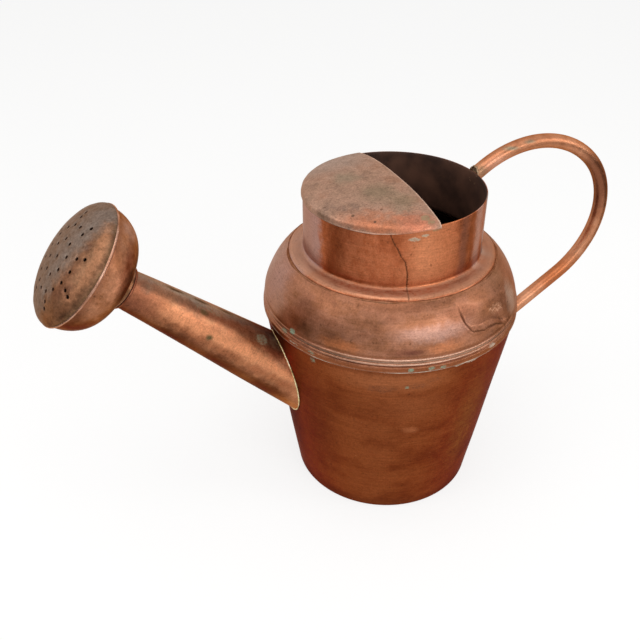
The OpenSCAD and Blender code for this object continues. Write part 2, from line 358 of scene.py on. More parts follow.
# %% Sizes from the frame
SHEET = 0.9
shoulder_low, shoulder_high = box_mm("shoulder")
neck_low, neck_high = box_mm("neck")
skirt_r = shoulder_high[0]
body_h = shoulder_low[2]
foot_r = neck_high[0]
foot_z = neck_low[2] + SHEET
rim_z = neck_high[2]
NECK_R = 68.0
BASE_R = 75.0
top_r = skirt_r - 1.0
taper = (top_r - BASE_R) / body_h
BEAD_LOW = 167.3
BEAD_PITCH = 3.4
PRESSED_BEAD_R = 0.95
DOME_Z = 172.0
print("skirt", round(skirt_r, 2), "body height", round(body_h, 1), "rim", round(rim_z, 1))


def wall_r(z):
    """Outer radius of the body's wall at a height."""
    return BASE_R + taper * z


# %% [markdown]
# ## Body
# The body is spun: a disc of copper is pressed against a turning form, which leaves fine rings. Its
# wall leans out from a small rounded corner at the foot. Years of knocks have left it a little out
# of round, so slow ripples are pressed into it.

# %% Body
CORNER_R = 2.5
LIP_H = 3.2
body_line = [(0, 0)] + arc((BASE_R - CORNER_R, CORNER_R), CORNER_R, -90, -8, 6)
body_line += [(wall_r(body_h), body_h), (wall_r(body_h), body_h + LIP_H)]


def knocked_body(angle, height):
    """Slow ripples over the wall, none at the foot's corner or under the skirt."""
    fade = smooth(height, 2, 30) * (1 - smooth(height, 140, 160))
    return fade * ripple(angle, height, 0.35, 0.7)


body_outline, body_inside = sheet(body_line, SHEET, 2.2)
body = skin("body_shell", revolved(body_outline, 360, knocked_body), inside=body_inside)

# %% [markdown]
# ## Shoulder
# The shoulder is one pressed ring. Its skirt laps over the body, two beads stiffen it, and its dome
# turns in under the neck's foot. It carries the can's worst dent, on the right. The push left a
# sharp fold below and a hollow that runs out upwards. The fold's course is given as a few
# angle and height pairs, and the hollow is pressed in above it.

# %% Shoulder
shoulder_r = skirt_r - 1.4
shoulder_line = [(skirt_r, body_h), (skirt_r, body_h + 3.3)]
shoulder_line += arc((skirt_r - 0.5, body_h + 3.3), 0.5, 15, 90, 3) + [(shoulder_r, body_h + 4.4)]
for pushed_in, bead_z in ((0, BEAD_LOW), (0.45, BEAD_LOW + BEAD_PITCH)):
    shoulder_line += arc((shoulder_r - pushed_in, bead_z), PRESSED_BEAD_R, -75, 75, 8)
shoulder_line += bend((shoulder_r - 0.1, DOME_Z), (95.4, 194.6), (foot_r + 0.5, foot_z - 0.25), 60)
shoulder_line += [(foot_r + 0.3, foot_z - SHEET - 0.2), (foot_r - 8.2, foot_z + 0.9)]

# Angle and height of points on the fold
FOLD = np.array([(-84.0, 195.0), (-82.0, 188.5), (-79.0, 183.2), (-72.9, 181.0), (-69.0, 181.2),
                 (-64.5, 180.2), (-60.0, 177.0), (-56.0, 172.2)])
DENT_DEPTH = 3.4
DENT_HEIGHT = 19.0


def knocked_shoulder(angle, height):
    """Ripples, a low bulge at the left and the dent at the right."""
    degrees = np.degrees(angle)
    dome = smooth(height, 171, 176) * (1 - smooth(height, 200, 206))
    push = ripple(angle, height, 0.22, 2.1) * dome
    push += 1.3 * dome * np.exp(-((degrees - 162) / 9) ** 2 - ((height - 186) / 13) ** 2)
    fold = np.interp(degrees, FOLD[:, 0], FOLD[:, 1])
    above = height - fold
    window = smooth(degrees, -85, -80) * (1 - smooth(degrees, -59, -50))
    hollow = smooth(above, -0.6, 1.6) * (1 - smooth(above, 1.6, DENT_HEIGHT))
    ridge = 0.5 * np.exp(-((above + 1.4) / 1.5) ** 2)
    return push + dome * window * (ridge - DENT_DEPTH * hollow)


shoulder_outline, shoulder_inside = sheet(shoulder_line, SHEET, 0.9)
shoulder_grid = revolved(shoulder_outline, 600, knocked_shoulder)
shoulder = skin("shoulder_shell", shoulder_grid, 40, shoulder_inside)

# %% [markdown]
# ## Neck
# The neck is a rolled strip whose ends are brazed together. The braze line wanders down the front,
# because the ends were cut with teeth that grip each other. One end lies a hair higher than the
# other. The foot is flanged out and rests on the shoulder.

# %% Neck
FOOT_RISE = 3.0
FOOT_BEND = 2.8
# Height and angle of points on the braze line
SEAM = np.array([(208, -107.2), (222, -107.2), (227, -108.0), (232, -108.9), (236, -111.5), (241, -113.3),
                 (246, -115.8), (251, -117.7), (258, -119.5)])
foot_top = (NECK_R + FOOT_BEND, foot_z + FOOT_RISE)
neck_line = bend((foot_r - 0.1, foot_z - 0.35), (foot_r - 1.6, foot_z + FOOT_RISE - 0.3), foot_top, 12)
neck_line += bend(foot_top, (NECK_R, foot_z + FOOT_RISE + 0.5),
                  (NECK_R, foot_z + FOOT_RISE + FOOT_BEND), 8)[1:]
neck_line += [(NECK_R, rim_z - 0.45)]


def seam_offset(angle, height):
    """Distance in mm to the right of the braze line."""
    wander = 0.5 * np.sin(height * 1.7) + 0.35 * np.sin(height * 3.1 + 1)
    return np.radians(np.degrees(angle) - np.interp(height, SEAM[:, 0], SEAM[:, 1])) * NECK_R + wander


def knocked_neck(angle, height):
    """Ripples, and the lap at the braze line: a step with a shallow groove."""
    side = seam_offset(angle, height)
    wall = smooth(height, foot_z + 2.5, foot_z + 6)
    near = np.exp(-(side / 6) ** 2)
    step = 0.32 * smooth(side, -0.5, 0.3) * near
    groove = -0.30 * np.exp(-((side + 0.6) / 0.6) ** 2)
    return wall * (ripple(angle, height, 0.15, 1.1) * (1 - smooth(height, 240, 252)) + step + groove)


neck_outline, neck_inside = sheet(neck_line, SHEET, 0.9)
neck = skin("neck_shell", revolved(neck_outline, 900, knocked_neck), 50, neck_inside)

# %% [markdown]
# ## Hood
# The hood is a shallow dome with a short skirt, soldered over the neck, and cut straight across the
# mouth so that water doesn't slop out when the can tips. It is made as a whole dome and cut, as the
# smith did it.

# %% Hood
HOOD_RISE = 8.0
HOOD_SKIRT = 5.0
HOOD_POWER = 2.5
HOOD_LIFT = 0.8
hood_high = box_mm("hood")[1]
HOOD_CUT_X = hood_high[0]
hood_r = NECK_R + 1.0
HOOD_ROLL = 3.6


def hood_z(share):
    """Height of the hood's dome at a share of its radius."""
    return rim_z + HOOD_LIFT + HOOD_RISE * (1 - share ** HOOD_POWER)


hood_line = [(hood_r, rim_z - HOOD_SKIRT), (hood_r, rim_z - 2.6)]
roll_start = hood_r - HOOD_ROLL * 1.15
hood_line += bend((hood_r, rim_z - 2.4), (hood_r, rim_z + 0.6), (roll_start, hood_z(roll_start / hood_r)), 10)
hood_line += [(hood_r * share, hood_z(share)) for share in np.cos(np.radians(np.linspace(22, 90, 34)))]


def knocked_hood(angle, height):
    """A skirt hammered in short waves, and a dome that is nearly even."""
    flat = smooth(height, rim_z - 2, rim_z + 2)
    skirt_wave = 0.18 * np.sin(angle * 23) * np.sin(angle * 7 + 1)
    return (1 - flat) * skirt_wave + 0.12 * np.sin(9 * angle + height / 4) * flat


hood_outline, hood_inside = sheet(hood_line, SHEET, 1.0, 2)
hood_grid = revolved(hood_outline, 420, knocked_hood)
# The skirt was hammered down less and less towards the cut, where it ends at the rim
from_back = 180 - np.abs(np.degrees(np.arctan2(hood_grid[..., 1], hood_grid[..., 0])))
kept = 1 - 0.8 * smooth(from_back, 45, 92)
below_rim = np.minimum(hood_grid[..., 2] - (rim_z - 1.2), 0)
hood_grid[..., 2] += below_rim * (kept - 1)
hood = skin("hood_shell", hood_grid, 50, hood_inside)
hood_mesh = bmesh.new()
hood_mesh.from_mesh(hood.data)
cut = bmesh.ops.bisect_plane(
    hood_mesh, geom=hood_mesh.verts[:] + hood_mesh.edges[:] + hood_mesh.faces[:],
    plane_co=(HOOD_CUT_X * MM, 0, 0), plane_no=(1, 0, 0), clear_outer=True)
bmesh.ops.edgenet_fill(hood_mesh, edges=[e for e in cut["geom_cut"] if isinstance(e, bmesh.types.BMEdge)])
bmesh.ops.recalc_face_normals(hood_mesh, faces=hood_mesh.faces)
hood_mesh.to_mesh(hood.data)
hood_mesh.free()
hood.data.set_sharp_from_angle(angle=math.radians(50))
print("hood is cut at x =", round(HOOD_CUT_X, 2), "mm")

# %% [markdown]
# ## Spout
# The spout is a cone rolled from one piece and lapped along its top. Its root is cut to the curve
# of the body. Each line of the cone is followed towards the can until it meets the wall, which
# gives the saddle shape with no boolean. The rose's slide gives the direction of the axis.

# %% Spout axis and saddle
AXIS = np.array(frame["joints"][0]["axis"], float)
AXIS /= np.linalg.norm(AXIS)
SPOUT_H = 116.5
SPOUT_AT = np.array([-wall_r(SPOUT_H), 0, SPOUT_H])
UPPER = np.array([AXIS[2], 0, -AXIS[0]])
ACROSS = np.cross(AXIS, UPPER)
ROOT_R = 23.8
SEAT_R = 14.1
SPOUT_LEN = 150.2
TIP_LEN = 19.0
FILM = 0.1
# How far inside and outside the wall a line of the cone is followed to find where it leaves
ROOT_REACH = (-45, 60)


def on_spout(along, radius, turn):
    """A point by distance along the spout's axis, radius and angle from its upper side."""
    along, radius, turn = np.broadcast_arrays(along, radius, turn)
    side = np.cos(turn)[..., None] * UPPER + np.sin(turn)[..., None] * ACROSS
    return SPOUT_AT + along[..., None] * AXIS + radius[..., None] * side


def spout_r(along):
    """Outer radius of the cone at a distance along its axis."""
    return ROOT_R + (SEAT_R - ROOT_R) * along / SPOUT_LEN


def first_clear(point_at, wall, low, high):
    """For each line point_at(t), the t at which it leaves the wall, by halving."""
    for _ in range(40):
        middle = (low + high) / 2
        q = point_at(middle)
        outside = np.hypot(q[..., 0], q[..., 1]) > wall(q[..., 2])
        low, high = np.where(outside, low, middle), np.where(outside, middle, high)
    return high


spout_turns = np.linspace(-math.pi, math.pi, 200, endpoint=False)


def spout_side(gap, count, ease):
    """Rows of points on the cone, at a distance inside its outer face."""
    low, high = (0 * spout_turns + end for end in ROOT_REACH)
    start = first_clear(lambda t: on_spout(t, spout_r(t) - gap, spout_turns),
                        lambda z: wall_r(z) + FILM, low, high)
    share = np.linspace(0, 1, count)[:, None]
    along = start + (SPOUT_LEN + TIP_LEN - start) * share
    lap = 0.45 * smooth(spout_turns, 0.0, 0.12) * np.exp(-((spout_turns - 0.05) / 0.5) ** 2)
    held = (1 - smooth(along, 125, 145)) * smooth(share, 0, 0.1)
    dent = ease * ripple(spout_turns, along, 0.22, 0.4) * held
    lap = ease * lap * (1 - smooth(along, 130, 149))
    return on_spout(along, spout_r(along) - gap + lap + dent, spout_turns)


spout_outer, spout_inner = spout_side(0, 120, 1), spout_side(SHEET, 40, 0)
spout = skin("spout_shell", np.concatenate([spout_outer, spout_inner[::-1]]), 50, len(spout_outer))

# %% [markdown]
# ## Rose
# The rose has three pieces: a socket that slips over the spout, a bell spun in a deep curve, and a
# domed face with punched holes whose bead closes the joint. Socket and bell are turned like the
# can's shells, then laid along the spout's axis.

# %% Socket and bell
SOCKET_GAP = 0.25
ROSE_SHEET = 0.8
SOCKET_LEN = 24.0
RING_R = 1.0
BELL_BACK = 9.2
BELL_BACK_R = 23.3
BELL_R = 44.3
BELL_DEPTH = 25.9


def along_spout(grid):
    """Lays a grid turned about Z along the spout's axis, heights counted from the wall."""
    return SPOUT_AT + grid[..., :1] * UPPER + grid[..., 1:2] * ACROSS + grid[..., 2:] * AXIS


socket_end = SPOUT_LEN + SOCKET_LEN
ring_at = (SEAT_R + SOCKET_GAP + ROSE_SHEET, SPOUT_LEN + RING_R)
socket_line = arc(ring_at, RING_R, -90, 96, 12)
socket_line += [(spout_r(socket_end) + SOCKET_GAP + ROSE_SHEET, socket_end),
                (spout_r(socket_end) + SOCKET_GAP, socket_end), (spout_r(SPOUT_LEN) + SOCKET_GAP, SPOUT_LEN)]
socket = skin("rose_socket_ring", along_spout(revolved(dense(socket_line, 1.5), 160)), 50)

collar_r = SEAT_R + SOCKET_GAP + 2 * ROSE_SHEET + FILM
collar_u = SPOUT_LEN + 2 * RING_R + 0.4
back_u = SPOUT_LEN + BELL_BACK
bell_line = [(collar_r, collar_u)]
bell_line += bend((collar_r + 0.1, collar_u + 1.6), (collar_r + 0.3, back_u), (BELL_BACK_R, back_u), 12)
bell_line += [(BELL_BACK_R + (BELL_R - BELL_BACK_R) * math.sin(w), back_u + BELL_DEPTH * (1 - math.cos(w)))
              for w in np.radians(np.linspace(4.5, 90, 36))]


def knocked_bell(angle, height):
    """Ripples between the collar and the bead, where nothing holds the sheet."""
    open_part = smooth(height, back_u + 2, back_u + 8) * (1 - smooth(height, back_u + 20, back_u + 25))
    return open_part * ripple(angle, height, 0.25, 1.9)


bell_outline, bell_inside = sheet(bell_line, ROSE_SHEET, 1.2, 2)
bell_grid = along_spout(revolved(bell_outline, 240, knocked_bell))
bell = skin("rose_bell_shell", bell_grid, 50, bell_inside)

# %% [markdown]
# The face is a dome with thirty-eight punched holes. They were set out by eye in rings, a little off
# the middle, and three places were never punched.

# %% Holes of the face
BELL_TO_BEAD = 0.45
FACE_BEAD_R = 1.05
FACE_RISE = 17.0
FACE_R = BELL_R + BELL_TO_BEAD
HOLE_R = 1.25
HOLE_SIDES = 20
OUTER_RING = BELL_R - 10.3
HOLE_MIDDLE = (1, -5.5)
# Share of the outermost ring's radius, number of places, angle of the first, places never punched
HOLE_RINGS = [
    (0, 1, 0, ()), (0.37, 8, -16, ()), (0.69, 16, 7, (14,)), (0.88, 8, -14, ()), (1, 8, -15, (0, 7))]
holes = []
for share, places, first_angle, missed in HOLE_RINGS:
    for k in range(places):
        turned = math.radians(first_angle + k * 360 / places)
        if k not in missed:
            holes.append((HOLE_MIDDLE[0] + share * OUTER_RING * math.cos(turned),
                          HOLE_MIDDLE[1] + share * OUTER_RING * math.sin(turned)))
hole_points = np.array(holes)
print("the face has", len(holes), "holes")

# %% [markdown]
# A boolean would leave long thin faces that spoil the sheen, so the holes are built in. The plan
# view of the face is triangulated with the holes' circles as fixed edges. Each hole has a second
# circle close round it, which gives its dimple an even border.

# %% Plan of the face
from mathutils.geometry import delaunay_2d_cdt

NET_STEP = 1.5
EDGE_SIDES = 240
FACE_EDGE = 0.5
face_u = SPOUT_LEN + BELL_BACK + BELL_DEPTH + FACE_BEAD_R + 0.15
face_r = FACE_R + 0.6
dome_r = face_r * math.sqrt(1 - (FACE_EDGE / FACE_RISE) ** 2)
plan = [Vector((0, 0))]
fixed = []


def fix_circle(middle, radius, sides):
    """Adds a circle to the plan whose edges the triangles have to keep."""
    first = len(plan)
    turns = np.linspace(0, 2 * math.pi, sides, endpoint=False)
    plan.extend(Vector((middle[0] + radius * math.cos(w), middle[1] + radius * math.sin(w))) for w in turns)
    fixed.extend((first + i, first + (i + 1) % sides) for i in range(sides))


def hole_distance(x, y):
    """Distance from each point of the plan to the middle of the nearest hole."""
    return np.hypot(x[:, None] - hole_points[:, 0], y[:, None] - hole_points[:, 1]).min(axis=1)


for ring_r in [*np.arange(NET_STEP, face_r - 2, NET_STEP), face_r - 1.6, face_r - 0.9, face_r - 0.45]:
    places = max(6, int(2 * math.pi * ring_r / NET_STEP))
    for w in np.linspace(0, 2 * math.pi, places, endpoint=False) + ring_r:
        q = (ring_r * math.cos(w), ring_r * math.sin(w))
        if min(math.dist(q, h) for h in holes) > HOLE_R + 0.55:
            plan.append(Vector(q))
fix_circle((0, 0), dome_r, EDGE_SIDES)
for hole in holes:
    fix_circle(hole, HOLE_R + 0.45, HOLE_SIDES)
    fix_circle(hole, HOLE_R, HOLE_SIDES)
net, _, triangles, *_ = delaunay_2d_cdt(plan, fixed, [], 0, 1e-6)
net = np.array([tuple(p) for p in net])
triangles = np.array([t for t in triangles if len(t) == 3])
centres = net[triangles].mean(1)
outside_holes = hole_distance(*centres.T) > HOLE_R * 0.999
triangles = triangles[outside_holes & (np.hypot(*centres.T) < dome_r)]
print("the plan has", len(triangles), "triangles")

# %% [markdown]
# The flat net is now lifted onto the dome, once for the outside and once for the inside. A punch
# drives the metal in round each hole, so each one sits in a small dimple. Every edge that has a
# triangle on one side only is a border, and a strip joins the two nets there.

# %% Face


def face_height(x, y, deep):
    """Height of the dome over its plan, with dimples at the holes and a slack outer band."""
    r = np.hypot(x, y)
    dome = FACE_RISE * np.sqrt(np.maximum(1 - (r / face_r) ** 2, 0))
    band = 0.12 * np.sin(np.arctan2(y, x) * 17 + r / 3) * smooth(r, 30, 40) * (1 - smooth(r, 42, 45))
    return face_u + dome - deep - 0.35 * np.exp(-((hole_distance(x, y) - HOLE_R) / 0.9) ** 2) + band


outside = np.column_stack([net, face_height(net[:, 0], net[:, 1], 0)])
within = np.column_stack([net * (1 - 0.4 / dome_r), face_height(net[:, 0], net[:, 1], ROSE_SHEET)])
directed = np.vstack([triangles[:, [0, 1]], triangles[:, [1, 2]], triangles[:, [2, 0]]])
seen_pairs = {tuple(e) for e in directed.tolist()}
border = [(a, b) for a, b in seen_pairs if (b, a) not in seen_pairs]
count = len(net)
face_mesh = bpy.data.meshes.new("rose_face_shell")
face_points = along_spout(np.vstack([outside, within])[None])[0] * MM
face_sides = triangles.tolist() + (triangles[:, ::-1] + count).tolist()
face_sides += [(b, a, a + count, b + count) for a, b in sorted(border)]
face_mesh.from_pydata(face_points.tolist(), [], face_sides)
# The back and the holes' walls are dark inside oxide
dark = np.arange(len(face_sides)) >= len(triangles)
face_mesh.polygons.foreach_set("material_index", dark.astype(int))
face_net = bmesh.new()
face_net.from_mesh(face_mesh)
loose = [v for v in face_net.verts if not v.link_faces]
bmesh.ops.delete(face_net, geom=loose, context="VERTS")
bmesh.ops.recalc_face_normals(face_net, faces=face_net.faces)
face_net.to_mesh(face_mesh)
face_net.free()
face_mesh.shade_smooth()
face_mesh.set_sharp_from_angle(angle=math.radians(50))
face = bpy.data.objects.new("rose_face_shell", face_mesh)
bpy.context.scene.collection.objects.link(face)
print("face has", len(face_mesh.polygons), "faces")

# %% [markdown]
# The face's edge is rolled over the bell's into a bead. It is a plain ring here, and the strip of
# it next to the dome takes the dark inside coat, as painted shade in the crease.

# %% Bead of the face
CREASE_LOW = 0.72
bead_line = arc((FACE_R, face_u), FACE_BEAD_R, -180, 150, 20)
face_bead = skin("rose_face_bead", along_spout(revolved(np.array(bead_line), 300)), 60)
# Painted shade: the strip of the bead towards the dome takes the dark inside coat
for side in face_bead.data.polygons:
    height = (np.array(side.center) / MM - SPOUT_AT) @ AXIS - face_u
    side.material_index = int(height > CREASE_LOW)

# %% [markdown]
# ## Handle
# The handle is a drawn copper tube bent in three easy curves over the hand and straight down to the
# body. Its course starts where it leaves the neck. Each arc turns it down by an angle, and rings of
# points are laid square to the course. Both ends are cut to the walls they meet, like the spout's
# root.

# %% Handle
TUBE_R = 5.6
TUBE_WALL = 1.0
GRIP_DROP = 2.7
GRIP_ANGLE = 35.4
GRIP_OUT = 7.0
# Radius of each bend, and the degrees by which it turns the tube
BENDS = [(80.9, 80.9), (63.7, 71.2), (75.5, 29.6)]
TUBE_SIDES = 40

course = [(NECK_R, rim_z - GRIP_DROP, math.radians(GRIP_ANGLE))]
course.append((course[0][0] + GRIP_OUT * math.cos(course[0][2]),
               course[0][1] + GRIP_OUT * math.sin(course[0][2]), course[0][2]))
for radius, sweep in BENDS:
    x, z, way = course[-1]
    steps = round(sweep / 2)
    for i in range(1, steps + 1):
        new_way = way - math.radians(sweep) * i / steps
        course.append((x + radius * (math.sin(way) - math.sin(new_way)),
                       z + radius * (math.cos(new_way) - math.cos(way)), new_way))
tube_turns = np.linspace(0, 2 * math.pi, TUBE_SIDES, endpoint=False)


def tube_ring(stop, radius, ahead=0.0):
    """A ring of the tube at a stop of its course, moved on along its direction."""
    x, z, way = stop
    up = np.array([-math.sin(way), 0, math.cos(way)])
    way = np.array([math.cos(way), 0, math.sin(way)])
    middle = np.array([x, 0, z])
    across = np.array([0, 1, 0])
    ring = middle + radius * (np.cos(tube_turns)[:, None] * up + np.sin(tube_turns)[:, None] * across)
    return ring + np.asarray(ahead)[..., None] * way


def tube_side(radius):
    """Rows of the tube's outer or inner face, with both ends cut to the walls."""
    zero = 0 * tube_turns
    start = first_clear(lambda t: tube_ring(course[0], radius, t),
                        lambda z: NECK_R + FILM + 0 * z, zero - 12, zero + 6.5)
    foot = course[-1]
    # Seen from the bend, the tube runs towards the body, so its line is followed backwards
    reach = -first_clear(lambda t: tube_ring(foot, radius, -t),
                         lambda z: wall_r(z) + FILM, zero - 130, zero)
    rows = [tube_ring(course[0], radius, start)]
    rows += [tube_ring(stop, radius) for stop in course[1:]]
    rows += [tube_ring(foot, radius, reach * share) for share in np.linspace(0.05, 1, 20)]
    return np.array(rows)


handle_outer, handle_inner = tube_side(TUBE_R), tube_side(TUBE_R - TUBE_WALL)
handle = skin("handle_tube", np.concatenate([handle_outer, handle_inner[::-1]]), 50, len(handle_outer))

# %% [markdown]
# ## Solder
# Soft solder was run round every joint and wiped. It stands as a small uneven bead. A bead is a
# round section carried along a closed curve: the edges of the spout and the handle just made give
# those curves. Its thickness wanders, because it was fed by hand.

# %% Solder beads


def bead(name, curve, centre, radius, seed):
    """A closed run of solder along a curve, thicker and thinner as it goes."""
    count = len(curve)
    way = np.roll(curve, -1, 0) - np.roll(curve, 1, 0)
    way /= np.linalg.norm(way, axis=1)[:, None]
    out = curve - centre
    out -= way * np.sum(out * way, 1)[:, None]
    out /= np.linalg.norm(out, axis=1)[:, None]
    side = np.cross(way, out)
    t = np.linspace(0, 2 * math.pi, count, endpoint=False)
    wander = 0.22 * np.sin(5 * t + seed) + 0.16 * np.sin(11 * t + 2 * seed) + 0.10 * np.sin(23 * t + seed)
    size = radius * (1 + wander)
    around = np.linspace(0, 2 * math.pi, 14, endpoint=False)
    grid = curve[:, None] + size[:, None, None] * (
        np.cos(around)[None, :, None] * out[:, None] + np.sin(around)[None, :, None] * side[:, None])
    return skin(name, grid, 80)


def even(curve, count):
    """The closed curve with its points evenly spaced."""
    loop = np.vstack([curve, curve[:1]])
    gone = np.concatenate([[0], np.cumsum(np.linalg.norm(np.diff(loop, axis=0), axis=1))])
    wanted = np.linspace(0, gone[-1], count, endpoint=False)
    return np.stack([np.interp(wanted, gone, loop[:, i]) for i in range(3)], 1)


root_curve = even(spout_outer[0] + 0.35 * AXIS, 360)
spout_bead = bead("spout_solder_bead", root_curve, root_curve.mean(0), 0.62, 1.0)
top_curve = even(handle_outer[0], 120)
top_bead = bead("handle_top_solder_bead", top_curve, top_curve.mean(0), 0.9, 2.2)
# Solder also fills the tube's end. Each ring has its share of the tube's radius and how far it bulges
PLUG_RINGS = ((0.96, -1.2), (0.96, -0.2), (0.7, 0.1), (0.35, 0.25), (0.01, 0.3), (0.01, -1.2))
plug = handle_outer[0].mean(0)
plug_rows = [plug + (handle_outer[0] - plug) * share - np.array([bulge, 0, 0]) for share, bulge in PLUG_RINGS]
plug_mesh = skin("handle_plug", np.array(plug_rows), 60)
joined = bmesh.new()
joined.from_mesh(top_bead.data)
joined.from_mesh(plug_mesh.data)
joined.to_mesh(top_bead.data)
joined.free()
bpy.data.objects.remove(plug_mesh)
foot_curve = even(handle_outer[-1], 120)
foot_bead = bead("handle_foot_solder_bead", foot_curve, foot_curve.mean(0), 0.9, 3.1)


def hoop(radius, height, count):
    """A level circle of points about the can's axis."""
    turns = np.linspace(-math.pi, math.pi, count, endpoint=False)
    return np.stack([radius * np.cos(turns), radius * np.sin(turns), height + 0 * turns], 1)


skirt_bead = bead("shoulder_solder_bead", hoop(skirt_r - 0.55, body_h - 0.2, 720), np.zeros(3), 0.5, 0.3)
flange_bead = bead("neck_solder_bead", hoop(foot_r + 0.3, foot_z - 1.1, 540), np.zeros(3), 1.05, 1.7)

# %% [markdown]
# ## Aged copper
# Copper darkens in layers. Bare metal is salmon pink. A thin red-brown oxide comes first, then a
# darker brown one, and where water stands a green crust forms. All of it stays mostly metallic, so
# the recipe is one: a metal whose colour wanders between a few tones of oxide, with fine lines from
# the tool that made it, and washes laid over: stains, and painted highlights, reflections and
# shade. Every wash has a place on the can, given as an angle and a height. The first helpers give
# the place of each point of the surface in mm, and the noises, whose features have a size in mm too.

# %% Places and noises
SHAKE_MM = 6.25
MOTTLE_MM = 5.0
GRAIN_MM = 4 / 3
PIT_MM = 3.03
ALL = 1e5
DARK_OXIDE = "#3a2015"
# Dark tone of the neck's braze seam, and of the painted shade drawn along the shoulder's fold
SEAM_AND_FOLD_SHADE_TONE = "#54311f"
LIME_GREEN = "#7d9a84"
PALE_SCALE = "#b9aa98"


def at(angle, height, radius):
    """A place on a round piece by angle in degrees, height and radius in mm."""
    return (radius * math.cos(math.radians(angle)), radius * math.sin(math.radians(angle)), height)


def place_on(tree, laid):
    """The surface's place in mm: along the spout, up and across if laid, or else the can's x, y, z."""
    spot = add(tree, "ShaderNodeTexCoord").outputs["Object"]
    place = add(tree, "ShaderNodeVectorMath", {0: spot, "Scale": 1 / MM}, operation="SCALE").outputs[0]
    if not laid:
        return place
    reach = add(tree, "ShaderNodeVectorMath", {0: place, 1: SPOUT_AT}, operation="SUBTRACT").outputs[0]
    parts = []
    for way in (AXIS, UPPER, ACROSS):
        part = add(tree, "ShaderNodeVectorMath", {0: reach, 1: way}, operation="DOT_PRODUCT")
        parts.append(part.outputs["Value"])
    return add(tree, "ShaderNodeCombineXYZ", dict(enumerate(parts))).outputs[0]


def oxide_noises(tree, place, cloud, lines):
    """The noises of one finish by name, each from the size of its features in mm on each axis."""
    recipes = {
        "shake": (SHAKE_MM, 4.0, 0.6), "clouds": (cloud, 7.0, 0.62), "rings": (lines, 4.0, 0.7),
        "mottle": (MOTTLE_MM, 4.0, 0.7), "grain": (GRAIN_MM, 3.0, 0.8), "pits": (PIT_MM, 3.0, 0.55)}
    noises = {}
    for use, (feature, detail, roughness) in recipes.items():
        stretch = np.ones(3) / np.array(feature, float)
        drawn = add(tree, "ShaderNodeVectorMath", {0: place, 1: stretch}, operation="MULTIPLY").outputs[0]
        noise = add(tree, "ShaderNodeTexNoise", {
            "Vector": drawn, "Scale": 1.0, "Detail": detail, "Roughness": roughness})
        noises[use] = noise.outputs["Color" if use == "shake" else "Fac"]
    noises["shake"] = add(tree, "ShaderNodeVectorMath", {
        0: noises["shake"], 1: (0.5, 0.5, 0.5)}, operation="SUBTRACT").outputs[0]
    return noises


print("grain of", round(GRAIN_MM, 2), "mm, pits of", PIT_MM, "mm")

# %% [markdown]
# A stain, or a painted highlight or shade, is a patch: a soft ellipsoid round a place, with its
# edge shaken by noise so that it doesn't look cut out. A seam, or the painted shade in a fold, is a
# thin drawn line. Its course goes into a float curve, because a row of small patches would look like
# dots.

# %% Patches and drawn lines
LARGEST_SHAKE = 14.0
LINE_WOBBLE = 1.6


def patch(tree, place, shake, centre, size, soft, strength):
    """Mask of a patch with ragged edges, in mm: full in its middle, nothing outside."""
    amount = min(LARGEST_SHAKE, 1.1 * min(size))
    ragged = add(tree, "ShaderNodeVectorMath", {
        0: shake, 1: (amount, amount, amount), 2: place}, operation="MULTIPLY_ADD").outputs[0]
    scale = 1 / np.array(size, float)
    moved = add(tree, "ShaderNodeVectorMath", {
        0: ragged, 1: scale, 2: -np.array(centre) * scale}, operation="MULTIPLY_ADD").outputs[0]
    far = add(tree, "ShaderNodeVectorMath", {0: moved}, operation="LENGTH").outputs["Value"]
    return add(tree, "ShaderNodeMapRange", {
        "Value": far, "From Min": 1.0, "From Max": 1.0 - soft, "To Min": 0.0, "To Max": strength,
    }, interpolation_type="SMOOTHSTEP").outputs["Result"]


def drawn_line(tree, along, across, course, width):
    """Mask of a thin line. Its course gives pairs of (along, across), in the units of those sockets."""
    low, high = course.min(0), course.max(0)
    share = add(tree, "ShaderNodeMapRange", {
        "Value": along, "From Min": low[0], "From Max": high[0]}).outputs[0]
    curve = add(tree, "ShaderNodeFloatCurve", {"Value": share})
    points = curve.mapping.curves[0].points
    steps = (course[np.argsort(course[:, 0])] - low) / (high - low)
    points[0].location, points[1].location = steps[0], steps[-1]
    for step in steps[1:-1]:
        points.new(*step)
    for point in points:
        point.handle_type = "VECTOR"
    curve.mapping.update()
    course_at = add(tree, "ShaderNodeMapRange", {
        "Value": curve.outputs[0], "To Min": low[1], "To Max": high[1]}).outputs[0]
    off = add(tree, "ShaderNodeMath", {0: across, 1: course_at}, operation="SUBTRACT").outputs[0]
    off = add(tree, "ShaderNodeMath", {0: off}, operation="ABSOLUTE").outputs[0]
    return add(tree, "ShaderNodeMapRange", {
        "Value": off, "From Min": width, "From Max": 0.25 * width, "To Min": 0.0, "To Max": 1.0}).outputs[0]


def seam_mask(tree, place, noises, course, width, with_height, centre, size):
    """Mask of a seam or fold that runs with height or with angle, kept inside one patch."""
    axes = add(tree, "ShaderNodeSeparateXYZ", {0: place}).outputs
    angle = add(tree, "ShaderNodeMath", {0: axes["Y"], 1: axes["X"]}, operation="ARCTAN2").outputs[0]
    wobble = add(tree, "ShaderNodeMath", {
        0: noises["grain"], 1: LINE_WOBBLE, 2: -LINE_WOBBLE / 2}, operation="MULTIPLY_ADD").outputs[0]
    turn = add(tree, "ShaderNodeMath", {
        0: angle, 1: math.hypot(*centre[:2]), 2: wobble}, operation="MULTIPLY_ADD").outputs[0]
    level = add(tree, "ShaderNodeMath", {0: axes["Z"], 1: wobble}).outputs[0]
    drawn = drawn_line(tree, *((level, turn) if with_height else (turn, level)), course, width)
    window = patch(tree, place, noises["shake"], centre, size, 0.3, 0.9)
    return add(tree, "ShaderNodeMath", {0: drawn, 1: window}, operation="MULTIPLY").outputs[0]


print("a seam wanders by", LINE_WOBBLE / 2, "mm to each side")
